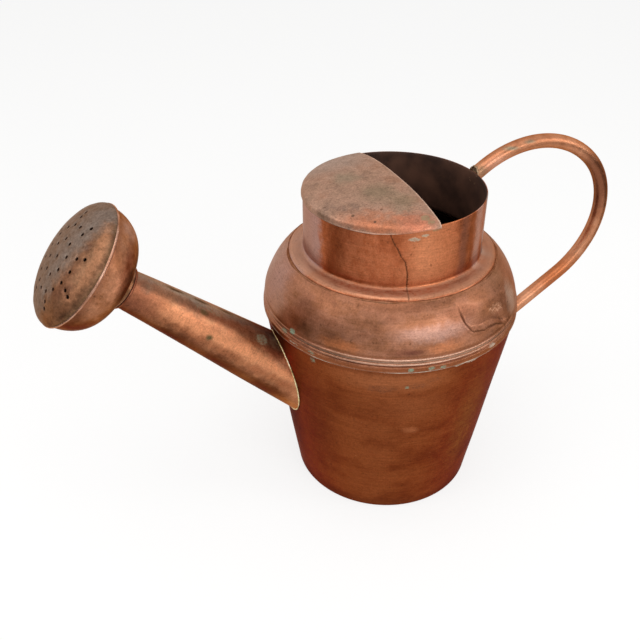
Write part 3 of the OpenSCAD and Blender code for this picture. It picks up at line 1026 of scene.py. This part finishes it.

# %% [markdown]
# Where water stood, salts grew: dry crusts that stand in grains and hide the metal. The same grainy
# patch also lays two painted highlights, on the neck's flange and in the shoulder's dent. Where a
# hammer worked, the surface keeps a small hollow for each blow, with dirt left between them.

# %% Crusts and hammer marks
CRUST_SOFTNESS = 0.6
CRUST_GRAIN = 2.4
CRUST_STARTS, CRUST_FULL = 1.75, 2.35
CRUST_COVER = 0.8


def crusted(tree, place, noises, colour, crusts):
    """The colour with dry crusts over it, and the mask of all the crusts."""
    dry = None
    for tone, strength, centre, size in crusts:
        mask = patch(tree, place, noises["shake"], centre, size, CRUST_SOFTNESS, strength)
        grains = add(tree, "ShaderNodeMath", {
            0: noises["grain"], 1: CRUST_GRAIN, 2: mask}, operation="MULTIPLY_ADD").outputs[0]
        broken = add(tree, "ShaderNodeMapRange", {
            "Value": grains, "From Min": CRUST_STARTS, "From Max": CRUST_FULL, "To Min": 0.0,
            "To Max": CRUST_COVER}).outputs["Result"]
        colour = add(tree, "ShaderNodeMix", {0: broken, 6: colour, 7: linear(tone)},
                     data_type="RGBA").outputs[2]
        dry = broken if dry is None else add(
            tree, "ShaderNodeMath", {0: dry, 1: broken}, operation="MAXIMUM").outputs[0]
    return colour, dry


def hammered(tree, place, colour, normal, blow_mm, depth_mm, dirt):
    """The colour and normal with hammer blows of a width and depth in mm, darker by dirt between them."""
    blows = add(tree, "ShaderNodeTexVoronoi", {
        "Vector": place, "Scale": 1 / blow_mm, "Smoothness": 0.5}, feature="SMOOTH_F1").outputs["Distance"]
    normal = add(tree, "ShaderNodeBump", {
        "Height": blows, "Distance": depth_mm * MM, "Strength": 1.0, "Normal": normal}).outputs[0]
    worn = add(tree, "ShaderNodeMath", {
        0: blows, 1: 2 * dirt, 2: 1 - dirt}, operation="MULTIPLY_ADD").outputs[0]
    return add(tree, "ShaderNodeHueSaturation", {"Color": colour, "Value": worn}).outputs[0], normal


print("a crust covers at most", CRUST_COVER, "of the metal")

# %% [markdown]
# The recipe puts the layers together in the order in which they came: oxide, stains and painted
# light, tool lines and grain, pits, a seam or a fold's painted shade, crusts, and last the relief.
# Crusts are rough and hardly metallic. All the rest is nearly pure metal.

# %% Recipe for aged copper
DRY_ROUGHNESS = 0.85


def aged_copper(name, tones, cloud=(22, 22, 22), lines=(50, 50, 0.9), line_depth=0.3, grain_depth=0.7,
                mottle_depth=0.35, roughness=(0.30, 0.46), metallic=0.92, bump=0.05, hammer=None, pits=0.45,
                edge="#d8a888", washes=(), crusts=(), line=None, laid=False):
    """Metal with wandering tones of oxide, tool lines, soft washes of stain or painted light, and dry crusts.

    A wash is tone, strength, centre, size and, where its edge is sharper, a softness. A line is a
    dark seam, or the painted shade in a fold: its course, width, whether it runs with height or with
    angle, and the patch it stays in. A hammer is the width and depth of its blows and the dirt between
    them. With laid, places are distance along the spout, up and across. Otherwise they are the can's
    own x, y, z.
    """
    material = bpy.data.materials.new(name)
    material.use_nodes = True
    tree = material.node_tree
    shader = tree.nodes["Principled BSDF"]
    shader.inputs["Specular Tint"].default_value = linear(edge)
    place = place_on(tree, laid)
    noises = oxide_noises(tree, place, cloud, lines)
    ramp = add(tree, "ShaderNodeValToRGB", {"Fac": noises["clouds"]})
    stops = np.linspace(0.36, 0.64, len(tones))
    ramp.color_ramp.elements[0].position, ramp.color_ramp.elements[1].position = stops[0], stops[-1]
    for stop in stops[1:-1]:
        ramp.color_ramp.elements.new(stop)
    for element, tone in zip(ramp.color_ramp.elements, tones):
        element.color = linear(tone)
    colour = ramp.outputs["Color"]
    for tone, strength, centre, size, *soft in washes:
        mask = patch(tree, place, noises["shake"], centre, size, soft[0] if soft else 0.85, strength)
        colour = add(tree, "ShaderNodeMix", {0: mask, 6: colour, 7: linear(tone)},
                     data_type="RGBA").outputs[2]
    # Tool lines, mottling and grain change only how dark the metal is
    value = 1 - line_depth - mottle_depth - grain_depth
    for use, depth in (("rings", line_depth), ("mottle", mottle_depth), ("grain", grain_depth)):
        value = add(tree, "ShaderNodeMath", {
            0: noises[use], 1: 2 * depth, 2: value}, operation="MULTIPLY_ADD").outputs[0]
    colour = add(tree, "ShaderNodeHueSaturation", {"Color": colour, "Value": value}).outputs[0]
    # Pits are small spots where the oxide is thick
    spots = add(tree, "ShaderNodeMapRange", {
        "Value": noises["pits"], "From Min": 0.64, "From Max": 0.74, "To Min": 0.0, "To Max": pits})
    colour = add(tree, "ShaderNodeMix", {
        0: spots.outputs["Result"], 6: colour, 7: linear(DARK_OXIDE)}, data_type="RGBA").outputs[2]
    # A dark seam, or painted shade along a fold
    if line:
        mask = seam_mask(tree, place, noises, *line)
        colour = add(tree, "ShaderNodeMix", {0: mask, 6: colour, 7: linear(SEAM_AND_FOLD_SHADE_TONE)},
                     data_type="RGBA").outputs[2]
    colour, dry = crusted(tree, place, noises, colour, crusts)
    rough = add(tree, "ShaderNodeMapRange", {
        "Value": noises["mottle"], "From Min": 0.35, "From Max": 0.65, "To Min": roughness[0],
        "To Max": roughness[1]}).outputs["Result"]
    shader.inputs["Metallic"].default_value = metallic
    if crusts:
        rough = add(tree, "ShaderNodeMix", {0: dry, 2: rough, 3: DRY_ROUGHNESS}).outputs[0]
        metal = add(tree, "ShaderNodeMix", {0: dry, 2: metallic, 3: 0.0}).outputs[0]
        tree.links.new(metal, shader.inputs["Metallic"])
    relief = add(tree, "ShaderNodeMath", {0: noises["rings"], 1: noises["grain"]}).outputs[0]
    normal = add(tree, "ShaderNodeBump", {
        "Height": relief, "Distance": bump * MM, "Strength": 1.0}).outputs[0]
    if hammer:
        colour, normal = hammered(tree, place, colour, normal, *hammer)
    tree.links.new(colour, shader.inputs["Base Color"])
    tree.links.new(rough, shader.inputs["Roughness"])
    tree.links.new(normal, shader.inputs["Normal"])
    print(name, "is made of", len(tree.nodes), "nodes")
    return material


# %% [markdown]
# ## Inside the can
# Nobody polishes the inside. Water has left it the brown and black of thick oxide, which hardly
# shines, so it is a dark rough coat with little metal in it. The same coat is the painted shade in
# the crease by the face's bead.

# %% Inside finish
oxide_and_crease_shade = bpy.data.materials.new("dark_water_oxide_and_crease_shade")
oxide_and_crease_shade.use_nodes = True
inside_tree = oxide_and_crease_shade.node_tree
inside_shader = inside_tree.nodes["Principled BSDF"]
inside_place = add(inside_tree, "ShaderNodeTexCoord").outputs["Object"]
tide = add(inside_tree, "ShaderNodeTexNoise", {"Vector": inside_place, "Scale": 45.0, "Detail": 6.0})
tide_ramp = add(inside_tree, "ShaderNodeValToRGB", {"Fac": tide.outputs["Fac"]})
tide_ramp.color_ramp.elements[0].position, tide_ramp.color_ramp.elements[1].position = 0.35, 0.65
tide_ramp.color_ramp.elements[0].color = linear("#3c261d")
tide_ramp.color_ramp.elements[1].color = linear("#664434")
inside_tree.links.new(tide_ramp.outputs["Color"], inside_shader.inputs["Base Color"])
inside_shader.inputs["Roughness"].default_value = 0.6
inside_shader.inputs["Metallic"].default_value = 0.35
print(oxide_and_crease_shade.name, "coats the inside of every shell")

# %% [markdown]
# ## The finishes, piece by piece
# The body keeps the fine rings of the spinner's tool, and it is the brownest piece, partly because
# hands never rub it and partly by painted shade in its tones. Real rings lie a few tenths of a
# millimetre apart, too fine to show. They are drawn 0.9 mm apart, and so are the neck's, at 0.8 mm.

# %% Body finish
spun_copper = aged_copper(
    "spun_tarnished_copper", ["#70391f", "#7c4225", "#864a2b", "#7f4527"], cloud=(44, 44, 26),
    line_depth=0.35, grain_depth=0.5, mottle_depth=0.22, roughness=(0.38, 0.5), bump=0.05, edge="#a87058",
    washes=[
        # Painted shade: the left side, under the spout, is darker
        ("#55301f", 0.85, at(-180, 90, 86), (26, 26, 100)),
        ("#66351f", 0.6, at(-152, 90, 88), (28, 28, 90)),
        ("#8d6238", 0.7, at(-68, 90, 88), (24, 24, 100)),
        ("#9c5e3c", 0.85, at(-112, 151, 97), (64, 64, 15)),
        ("#8e5233", 0.5, at(-100, 124, 93), (40, 40, 20)),
        ("#ad6c49", 0.6, at(-104, 97.9, 90), (9, 9, 5)),
        ("#6f3c24", 0.5, at(-120, 158.5, 99), (90, 90, 2.6)),
        ("#643620", 0.5, at(-110, 4, 76), (ALL, ALL, 9)),
    ],
    crusts=[
        ("#4f2b19", 0.72, at(-119, 143.5, 97), (20, 20, 6)),
        ("#4f2b19", 0.66, at(-104, 146.5, 97), (16, 16, 5)),
        ("#4f2b19", 0.6, at(-96, 151, 98), (10, 10, 4)),
        ("#7d8f78", 0.95, at(-108, 145.5, 97), (2.6, 2.6, 2.2)),
        (PALE_SCALE, 1.0, at(-86, 159.6, 99), (6, 6, 1.3)),
        (PALE_SCALE, 1.0, at(-79, 159.4, 99), (8, 8, 1.5)),
        (PALE_SCALE, 0.9, at(-149, 160, 99), (4, 4, 1.2)),
        ("#7d8f78", 0.8, at(-150, 156, 99), (4, 4, 5)),
    ])

# %% [markdown]
# The shoulder was pressed and then rubbed with a cloth for years, so it is paler and silkier. Its
# pale left side, a broad band across the front and a strip at the right are painted reflections and
# highlights, as are the bright lines on the beads' tops and the lit hollow of the dent. The corner
# over the beads is darker, and green salts grow where water stands under them. The fold of the dent
# is a drawn line of painted shade that follows the same pairs as the mesh.

# %% Shoulder finish
FOLD_R = 97.0
fold_course = np.column_stack([np.radians(FOLD[:, 0]) * FOLD_R, FOLD[:, 1] - 0.6])
pressed_copper = aged_copper(
    "pressed_satin_copper", ["#8b5a42", "#996549", "#a57056", "#97634a"], cloud=(26, 26, 14),
    line_depth=0.3, grain_depth=0.6, mottle_depth=0.25, roughness=(0.34, 0.46), bump=0.035, edge="#e0c0ac",
    washes=[
        # Painted reflection: the pale left side of the shoulder
        ("#b3968c", 0.9, at(-204, 188, 92), (36, 36, 44)),
        ("#a98377", 0.85, at(-186, 192, 90), (26, 26, 40)),
        ("#80523b", 0.85, at(-112, 206, 82), (62, 62, 7)),
        ("#7f6048", 0.35, at(-52, 203, 84), (26, 26, 9)),
        ("#be754b", 0.9, at(-137, 177, 98), (24, 24, 7)),
        ("#c37b53", 0.75, at(-93, 177, 98), (20, 20, 7)),
        ("#74492f", 0.6, at(-157, 178.5, 98), (19, 19, 10)),
        ("#5a3623", 0.5, at(-155, 180, 98), (10, 10, 6)),
        ("#7f4f3c", 0.85, at(-110, 176.5, 98), (19, 19, 5)),
        ("#653a30", 0.6, at(-106, 177, 98), (11, 11, 3)),
        # Painted highlight: a broad pale band across the front
        ("#bb9486", 0.6, at(-98, 188, 95), (42, 42, 8)),
        ("#a98270", 0.5, at(-176, 184, 96), (16, 16, 20)),
        # Painted light in the dent's hollow, then a pale strip of painted reflection at the right
        ("#b07553", 0.7, at(-66, 190, 94), (20, 20, 10)),
        ("#c0a796", 0.75, at(-46, 184, 93), (13, 13, 18)),
        # A darker band in the corner over the beads, then painted highlights on the tops of both beads
        ("#7c4c32", 0.6, at(-100, 173.2, 99), (ALL, ALL, 1.5)),
        ("#c9a48f", 0.8, at(-108, 171.3, 99), (95, 95, 0.9)),
        ("#927a69", 0.8, at(-100, 169.3, 99), (ALL, ALL, 0.9)),
        ("#c9a48f", 0.8, at(-108, 167.6, 99), (95, 95, 0.9)),
        ("#864c2e", 0.92, at(-100, 163.6, 100), (ALL, ALL, 2.5)),
    ],
    # The fold's dark drawn line is painted shade
    line=(fold_course, 0.8, False, at(-69, 183, FOLD_R), (24, 24, 17)),
    crusts=[
        # Painted sparkle of light in the dent's hollow, laid as a grainy patch
        ("#e0b492", 0.62, at(-61, 188, 94), (13, 13, 7)),
        (LIME_GREEN, 1.15, at(-161.6, 171.8, 99.5), (4.4, 4.4, 3.6)),
        (LIME_GREEN, 0.85, at(-167, 168, 99.5), (6, 6, 3)),
        (LIME_GREEN, 1.1, at(-107.4, 163.6, 100.5), (3.6, 3.6, 2.4)),
        (LIME_GREEN, 1.0, at(-98.8, 163.8, 100.5), (4.0, 4.0, 2.4)),
        (LIME_GREEN, 0.9, at(-94.0, 163.0, 100.5), (4, 4, 2)),
        (PALE_SCALE, 1.0, at(-68, 164.8, 100.5), (6, 6, 2.2)),
        (LIME_GREEN, 0.8, at(-150, 164, 100.5), (5, 5, 2)),
        (PALE_SCALE, 0.9, at(-160, 164, 100.5), (9, 9, 1.4)),
    ])

# %% [markdown]
# The neck's tones run up and down in painted reflections and highlights: dull and pinkish at the
# left, a dark band, red-brown before the seam, bright past it, then a dark band and pale strips at
# the right edge. The braze line is drawn as a dark seam, and a pale ring of painted highlight lies
# on the flange at the foot.

# %% Neck finish
seam_course = np.column_stack([SEAM[:, 0], np.radians(SEAM[:, 1]) * NECK_R - 0.4])
rolled_copper = aged_copper(
    "rolled_brazed_copper", ["#944f2f", "#a25938", "#b06643", "#9f5634"], cloud=(14, 14, 22),
    lines=(30, 30, 0.8), line_depth=0.4, grain_depth=0.55, mottle_depth=0.25, roughness=(0.30, 0.42),
    bump=0.045, edge="#e0c0ac",
    washes=[
        # Painted reflections and highlights in upright bands round the neck
        ("#b39690", 0.9, at(-210, 235, 68), (34, 34, 200)),
        ("#a9847a", 0.95, at(-184, 235, 68), (26, 26, 200), 0.35),
        ("#824829", 0.55, at(-153, 235, 68), (13, 13, 200)),
        ("#c67e57", 0.9, at(-97, 236, 68), (21, 21, 40)),
        ("#ba724c", 0.6, at(-84, 226, 68), (20, 20, 60)),
        ("#8d5844", 0.8, at(-70, 235, 68), (7, 7, 200)),
        ("#c29a8c", 0.85, at(-54, 235, 68), (9, 9, 200)),
        ("#a3978f", 0.8, at(-36, 235, 68), (12, 12, 200)),
        # Painted highlight: the pale ring on the flange at the neck's foot
        ("#b58468", 0.7, at(-108, 209.4, 74), (ALL, ALL, 2.8)),
    ],
    line=(seam_course, 0.7, True, at(-112, 231, NECK_R), (30, 30, 32)),
    crusts=[
        # Painted highlight on the flange, laid as a grainy patch
        ("#a2735a", 0.75, at(-108, 210.4, 72.5), (ALL, ALL, 2.2)),
        ("#aba48f", 1.1, at(-104.5, 249, 68), (6, 6, 2.4)),
        ("#aba48f", 1.0, at(-98.5, 251.3, 68), (5, 5, 1.8)),
        ("#937a58", 1.0, at(-92, 254.5, 68), (5, 5, 2)),
    ])

# %% [markdown]
# Rain falls on the hood and dries there, so its oxide is thick, dull and blotched.

# %% Hood finish
dull_copper = aged_copper(
    "dull_oxidised_copper", ["#927565", "#a4836f", "#ad8975", "#a27c67"], cloud=(17, 17, 17),
    line_depth=0.05, grain_depth=0.75, mottle_depth=0.32, roughness=(0.44, 0.58), bump=0.04, metallic=0.85,
    hammer=(6, 0.12, 0.1), pits=0.5, edge="#e0c0ac",
    washes=[
        ("#a8958a", 0.8, (-32, 60, 264), (62, 50, ALL)),
        ("#86755f", 0.7, at(-140, 264, 30), (20, 20, ALL)),
        ("#8a7963", 0.65, at(-110, 264, 40), (17, 17, ALL)),
        ("#8a7f6c", 0.6, at(-200, 264, 36), (16, 16, ALL)),
        ("#b5704f", 0.85, at(-124, 257.5, 67), (46, 46, 7)),
        ("#c0785c", 0.85, at(-103, 258, 63), (20, 20, 8)),
        # Painted highlights: thin bright lines along the skirt's lower edge and along the cut edge
        ("#d8ae98", 0.9, at(-115, rim_z - HOOD_SKIRT + 0.4, 69), (60, 60, 1.2)),
        ("#cfae9a", 0.9, (HOOD_CUT_X, 0, 262), (1.2, ALL, ALL)),
        ("#6a5242", 0.7, at(-164, 255, 69), (10, 10, 4)),
    ],
    crusts=[
        ("#4c3a2a", 1.3, at(-143.2, 259.8, 62.7), (1.9, 1.9, 1.9)),
        ("#4a382c", 1.3, at(-128.3, 259.3, 64.3), (1.7, 1.7, 1.7)),
        ("#85805f", 1.0, at(-96.5, 260.6, 60.5), (5, 5, 3.4)),
        ("#85805f", 0.9, at(-94.3, 259, 65), (4.5, 4.5, 2.6)),
    ])

# %% [markdown]
# The spout is grasped when the rose is pulled, so its side is scratched across. Long washes paint
# the light and shade round it: an olive, darker upper side, a bright highlight band along the side,
# and shade that deepens towards the underside. Green salts grow near the root. Places on the spout
# and the rose are given along the spout's axis, so that one long wash can follow it.

# %% Spout finish


def by_spout(along, turn, radius=None):
    """A place by distance along the spout and angle from its upper side, as the laid materials count."""
    radius = radius or spout_r(along)
    return (along, radius * math.cos(math.radians(turn)), radius * math.sin(math.radians(turn)))


# Tone, strength, angle and width of each wash that runs down the spout, as painted highlight and shade
SPOUT_LIGHT_AND_SHADE = [("#8b8378", 0.85, -8, 10), ("#83604a", 0.75, -34, 8), ("#dc9267", 0.85, -74, 7.5),
                 ("#965b3c", 0.75, -98, 6), ("#58301f", 0.95, -125, 12), ("#3c2016", 0.95, -152, 11)]
spout_light_and_shade = [(tone, strength, by_spout(along, turn), (42, width, width))
           for tone, strength, turn, width in SPOUT_LIGHT_AND_SHADE for along in (15, 60, 105, 150)]
scratched_copper_and_painted_light = aged_copper(
    "scratched_lapped_copper_and_painted_light", ["#a3684a", "#b47755", "#bf845f", "#ad714e"], cloud=(24, 24, 24),
    lines=(0.8, 7, 7), line_depth=0.3, grain_depth=0.6, mottle_depth=0.35, roughness=(0.30, 0.42), bump=0.05,
    laid=True,
    washes=spout_light_and_shade + [
        ("#2f2a20", 0.9, by_spout(118, -3), (11, 3, 2.4)),
        ("#2f2a20", 0.9, by_spout(96, -4), (11, 3, 2.4)),
        ("#2f2a20", 0.8, by_spout(74, -2), (11, 3, 2.2)),
        ("#7d7762", 0.85, by_spout(141, -45), (7, 6, 6)),
        ("#5c5b3a", 0.7, by_spout(94, -36), (5, 4, 4)),
        ("#4f4a30", 0.9, by_spout(83, -84), (3.6, 4, 4)),
        # The painted highlight is taken down towards the tip
        ("#7d4a36", 0.8, by_spout(145, -75), (32, 22, 22)),
        # Painted highlight low on the side near the root
        ("#e8ab80", 0.8, by_spout(12, -60), (20, 7, 7)),
    ],
    crusts=[
        ("#6d8470", 0.8, by_spout(42, -35), (10, 6, 7)),
        ("#5f6b50", 0.62, by_spout(28, -28), (12, 8, 9)),
        ("#6d7c66", 0.6, by_spout(90, -24), (30, 4, 4)),
    ])

# %% [markdown]
# The rose was raised and planished with a small hammer. The facets are about three millimetres
# wide. The face is painted grey where it looks at the sky, as the sky's reflection, and stays orange
# low down. The bell has a painted highlight on its side and painted shade underneath, and the face
# a painted shade in the crease by its bead.

# %% Rose finishes
raised_copper = aged_copper(
    "raised_bell_copper", ["#8a593c", "#9b6749", "#a87355", "#976344"], cloud=(13, 13, 13),
    lines=(0.8, 18, 18), line_depth=0.15, grain_depth=0.6, mottle_depth=0.35, roughness=(0.32, 0.44),
    bump=0.04, hammer=(4, 0.1, 0.12), laid=True,
    washes=[
        ("#a98678", 0.7, by_spout(176, -14, 43), (14, 16, 14)),
        # Painted highlight on the bell's side
        ("#ce8e6a", 0.85, by_spout(173, -68, 41), (7, 13, 13)),
        ("#5c4029", 0.85, (160, 0, 0), (9, ALL, ALL), 0.5),
        ("#80513a", 0.6, (185, 0, 0), (5, ALL, ALL)),
        # Painted shade on the bell's underside
        ("#532819", 0.95, by_spout(174, -134, 40), (20, 29, 29)),
        ("#4f2a1b", 0.6, by_spout(183, -118, 44), (5, 20, 20)),
    ])
planished_copper = aged_copper(
    "planished_face_copper", ["#6c4a38", "#7a563f", "#866148", "#78523b"], cloud=(12, 12, 12),
    line_depth=0.05, grain_depth=0.8, mottle_depth=0.4, roughness=(0.38, 0.52), bump=0.05, metallic=0.85,
    hammer=(3, 0.14, 0.22), laid=True,
    washes=[
        ("#a06f50", 0.6, (193, 0, 0), (3.4, ALL, ALL)),
        # Painted shade in the crease next to the bead
        ("#5e4832", 0.6, (186.5, 0, 0), (3.2, ALL, ALL), 0.5),
        ("#6b4736", 0.6, (196, -6, -30), (22, 26, 9)),
        # Painted reflection of the sky: grey on the side of the face that looks up
        ("#7c6f66", 0.95, (200, 0, 41), (90, 110, 71), 0.2),
        ("#938a82", 0.7, (200, 0, 52), (90, 70, 42), 0.6),
    ])
bright_edge = aged_copper(
    "rubbed_edge_copper", ["#96684f", "#ad7d65", "#c09782"], cloud=(12, 12, 12),
    line_depth=0.1, grain_depth=0.5, mottle_depth=0.3, roughness=(0.24, 0.34), bump=0.02)
ring_copper = aged_copper(
    "browned_ring_copper", ["#6c3b28", "#834d38", "#985f47"], cloud=(12, 12, 12),
    line_depth=0.1, grain_depth=0.5, mottle_depth=0.3, roughness=(0.28, 0.4), bump=0.02)

# %% [markdown]
# The handle was bought as drawn tube. Hands keep it clean, so it is the brightest copper on the can,
# with the smith's scorched solder at its upper end.

# %% Handle finish
drawn_tube = aged_copper(
    "drawn_copper_tube", ["#a5684a", "#b87a58", "#c48a69"], cloud=(24, 24, 24),
    lines=(12, 1.2, 12), line_depth=0.1, grain_depth=0.4, mottle_depth=0.25, roughness=(0.32, 0.44),
    bump=0.015, pits=0.15,
    washes=[
        # Painted shade on the right of the handle and under the inside of its bend
        ("#744632", 0.85, (178, 0, 228), (36, ALL, 44), 0.6),
        ("#7b4d38", 0.8, (150, 2, 258), (30, 9, 13), 0.6),
        # Painted highlight along the lower front edge of the grip
        ("#d39a80", 0.7, (86, -5, 261), (18, 4, 12)),
        ("#ad6238", 0.85, (168, -2, 142), (32, 11, 32)),
        ("#7a6650", 0.85, (NECK_R + 3, -2, rim_z + 1), (9, 9, 7)),
        ("#7d7a66", 0.8, (NECK_R + 28, -4, rim_z + 16), (10, 10, 2)),
        ("#7d7a66", 0.7, (NECK_R + 44, -4, rim_z + 19), (7, 7, 2)),
    ])

FINISHES = [
    (body, spun_copper), (shoulder, pressed_copper), (neck, rolled_copper), (hood, dull_copper),
    (spout, scratched_copper_and_painted_light), (bell, raised_copper), (handle, drawn_tube), (face, planished_copper),
    (face_bead, bright_edge), (socket, ring_copper),
]
for piece, finish in FINISHES:
    piece.data.materials.append(finish)
    piece.data.materials.append(oxide_and_crease_shade)
print(len(FINISHES), "pieces have a finish outside and dark oxide inside")

# %% [markdown]
# ## Solder finish
# Tin and lead solder is soft and pale. Fresh from the cloth it shines like silver, and outdoors it
# turns dull grey. Round the spout the heat of the iron has left it straw coloured, and under the
# neck it is so thin that the copper's brown shows in it.

# %% Solder finish


def solder(name, tones, roughness):
    """Wiped soft solder with a wandering tone."""
    return aged_copper(
        name, tones, cloud=(9, 9, 9), line_depth=0.0, roughness=roughness, metallic=0.8, bump=0.08)


grey_solder = solder("wiped_tin_lead_solder", ["#8d8277", "#b8a898", "#cdbfb0"], (0.32, 0.5))
straw_solder = solder("heated_tin_lead_solder", ["#9f8c62", "#d8c690", "#f0e6c8"], (0.25, 0.4))
brown_solder = solder("stained_tin_lead_solder", ["#6b5240", "#94775d", "#a58a70"], (0.4, 0.55))
smeared_solder = solder("copper_stained_solder", ["#75482f", "#8c5d43", "#9b6b50"], (0.4, 0.5))
spout_bead.data.materials.append(straw_solder)
skirt_bead.data.materials.append(grey_solder)
flange_bead.data.materials.append(smeared_solder)
top_bead.data.materials.append(brown_solder)
foot_bead.data.materials.append(brown_solder)

# %% [markdown]
# ## Joining the frame
# Each mesh now stands for its CAD node and rides on that node's body, so the rose slides off with
# its body while the can stays.

# %% Ride and replace
PIECES = [
    (body, "can", "body", "spun_copper"),
    (shoulder, "can", "shoulder", "pressed_copper"),
    (neck, "can", "neck", "neck_copper"),
    (hood, "can", "hood", "hood_copper"),
    (spout, "can", "spout", "spout_copper"),
    (handle, "can", "handle", "tube_copper"),
    (skirt_bead, "can", "shoulder_solder", "soft_solder"),
    (flange_bead, "can", "neck_solder", "soft_solder"),
    (spout_bead, "can", "spout_solder", "soft_solder"),
    (top_bead, "can", "handle_top_solder", "soft_solder"),
    (foot_bead, "can", "handle_foot_solder", "soft_solder"),
    (socket, "rose", "rose_socket", "tube_copper"),
    (bell, "rose", "rose_bell", "rose_copper"),
    (face, "rose", "rose_face", "face_copper"),
]
for piece, body_name, node_name, slot_name in PIECES:
    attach(piece, body_name)
    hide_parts(node_name)
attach(face_bead, "rose")
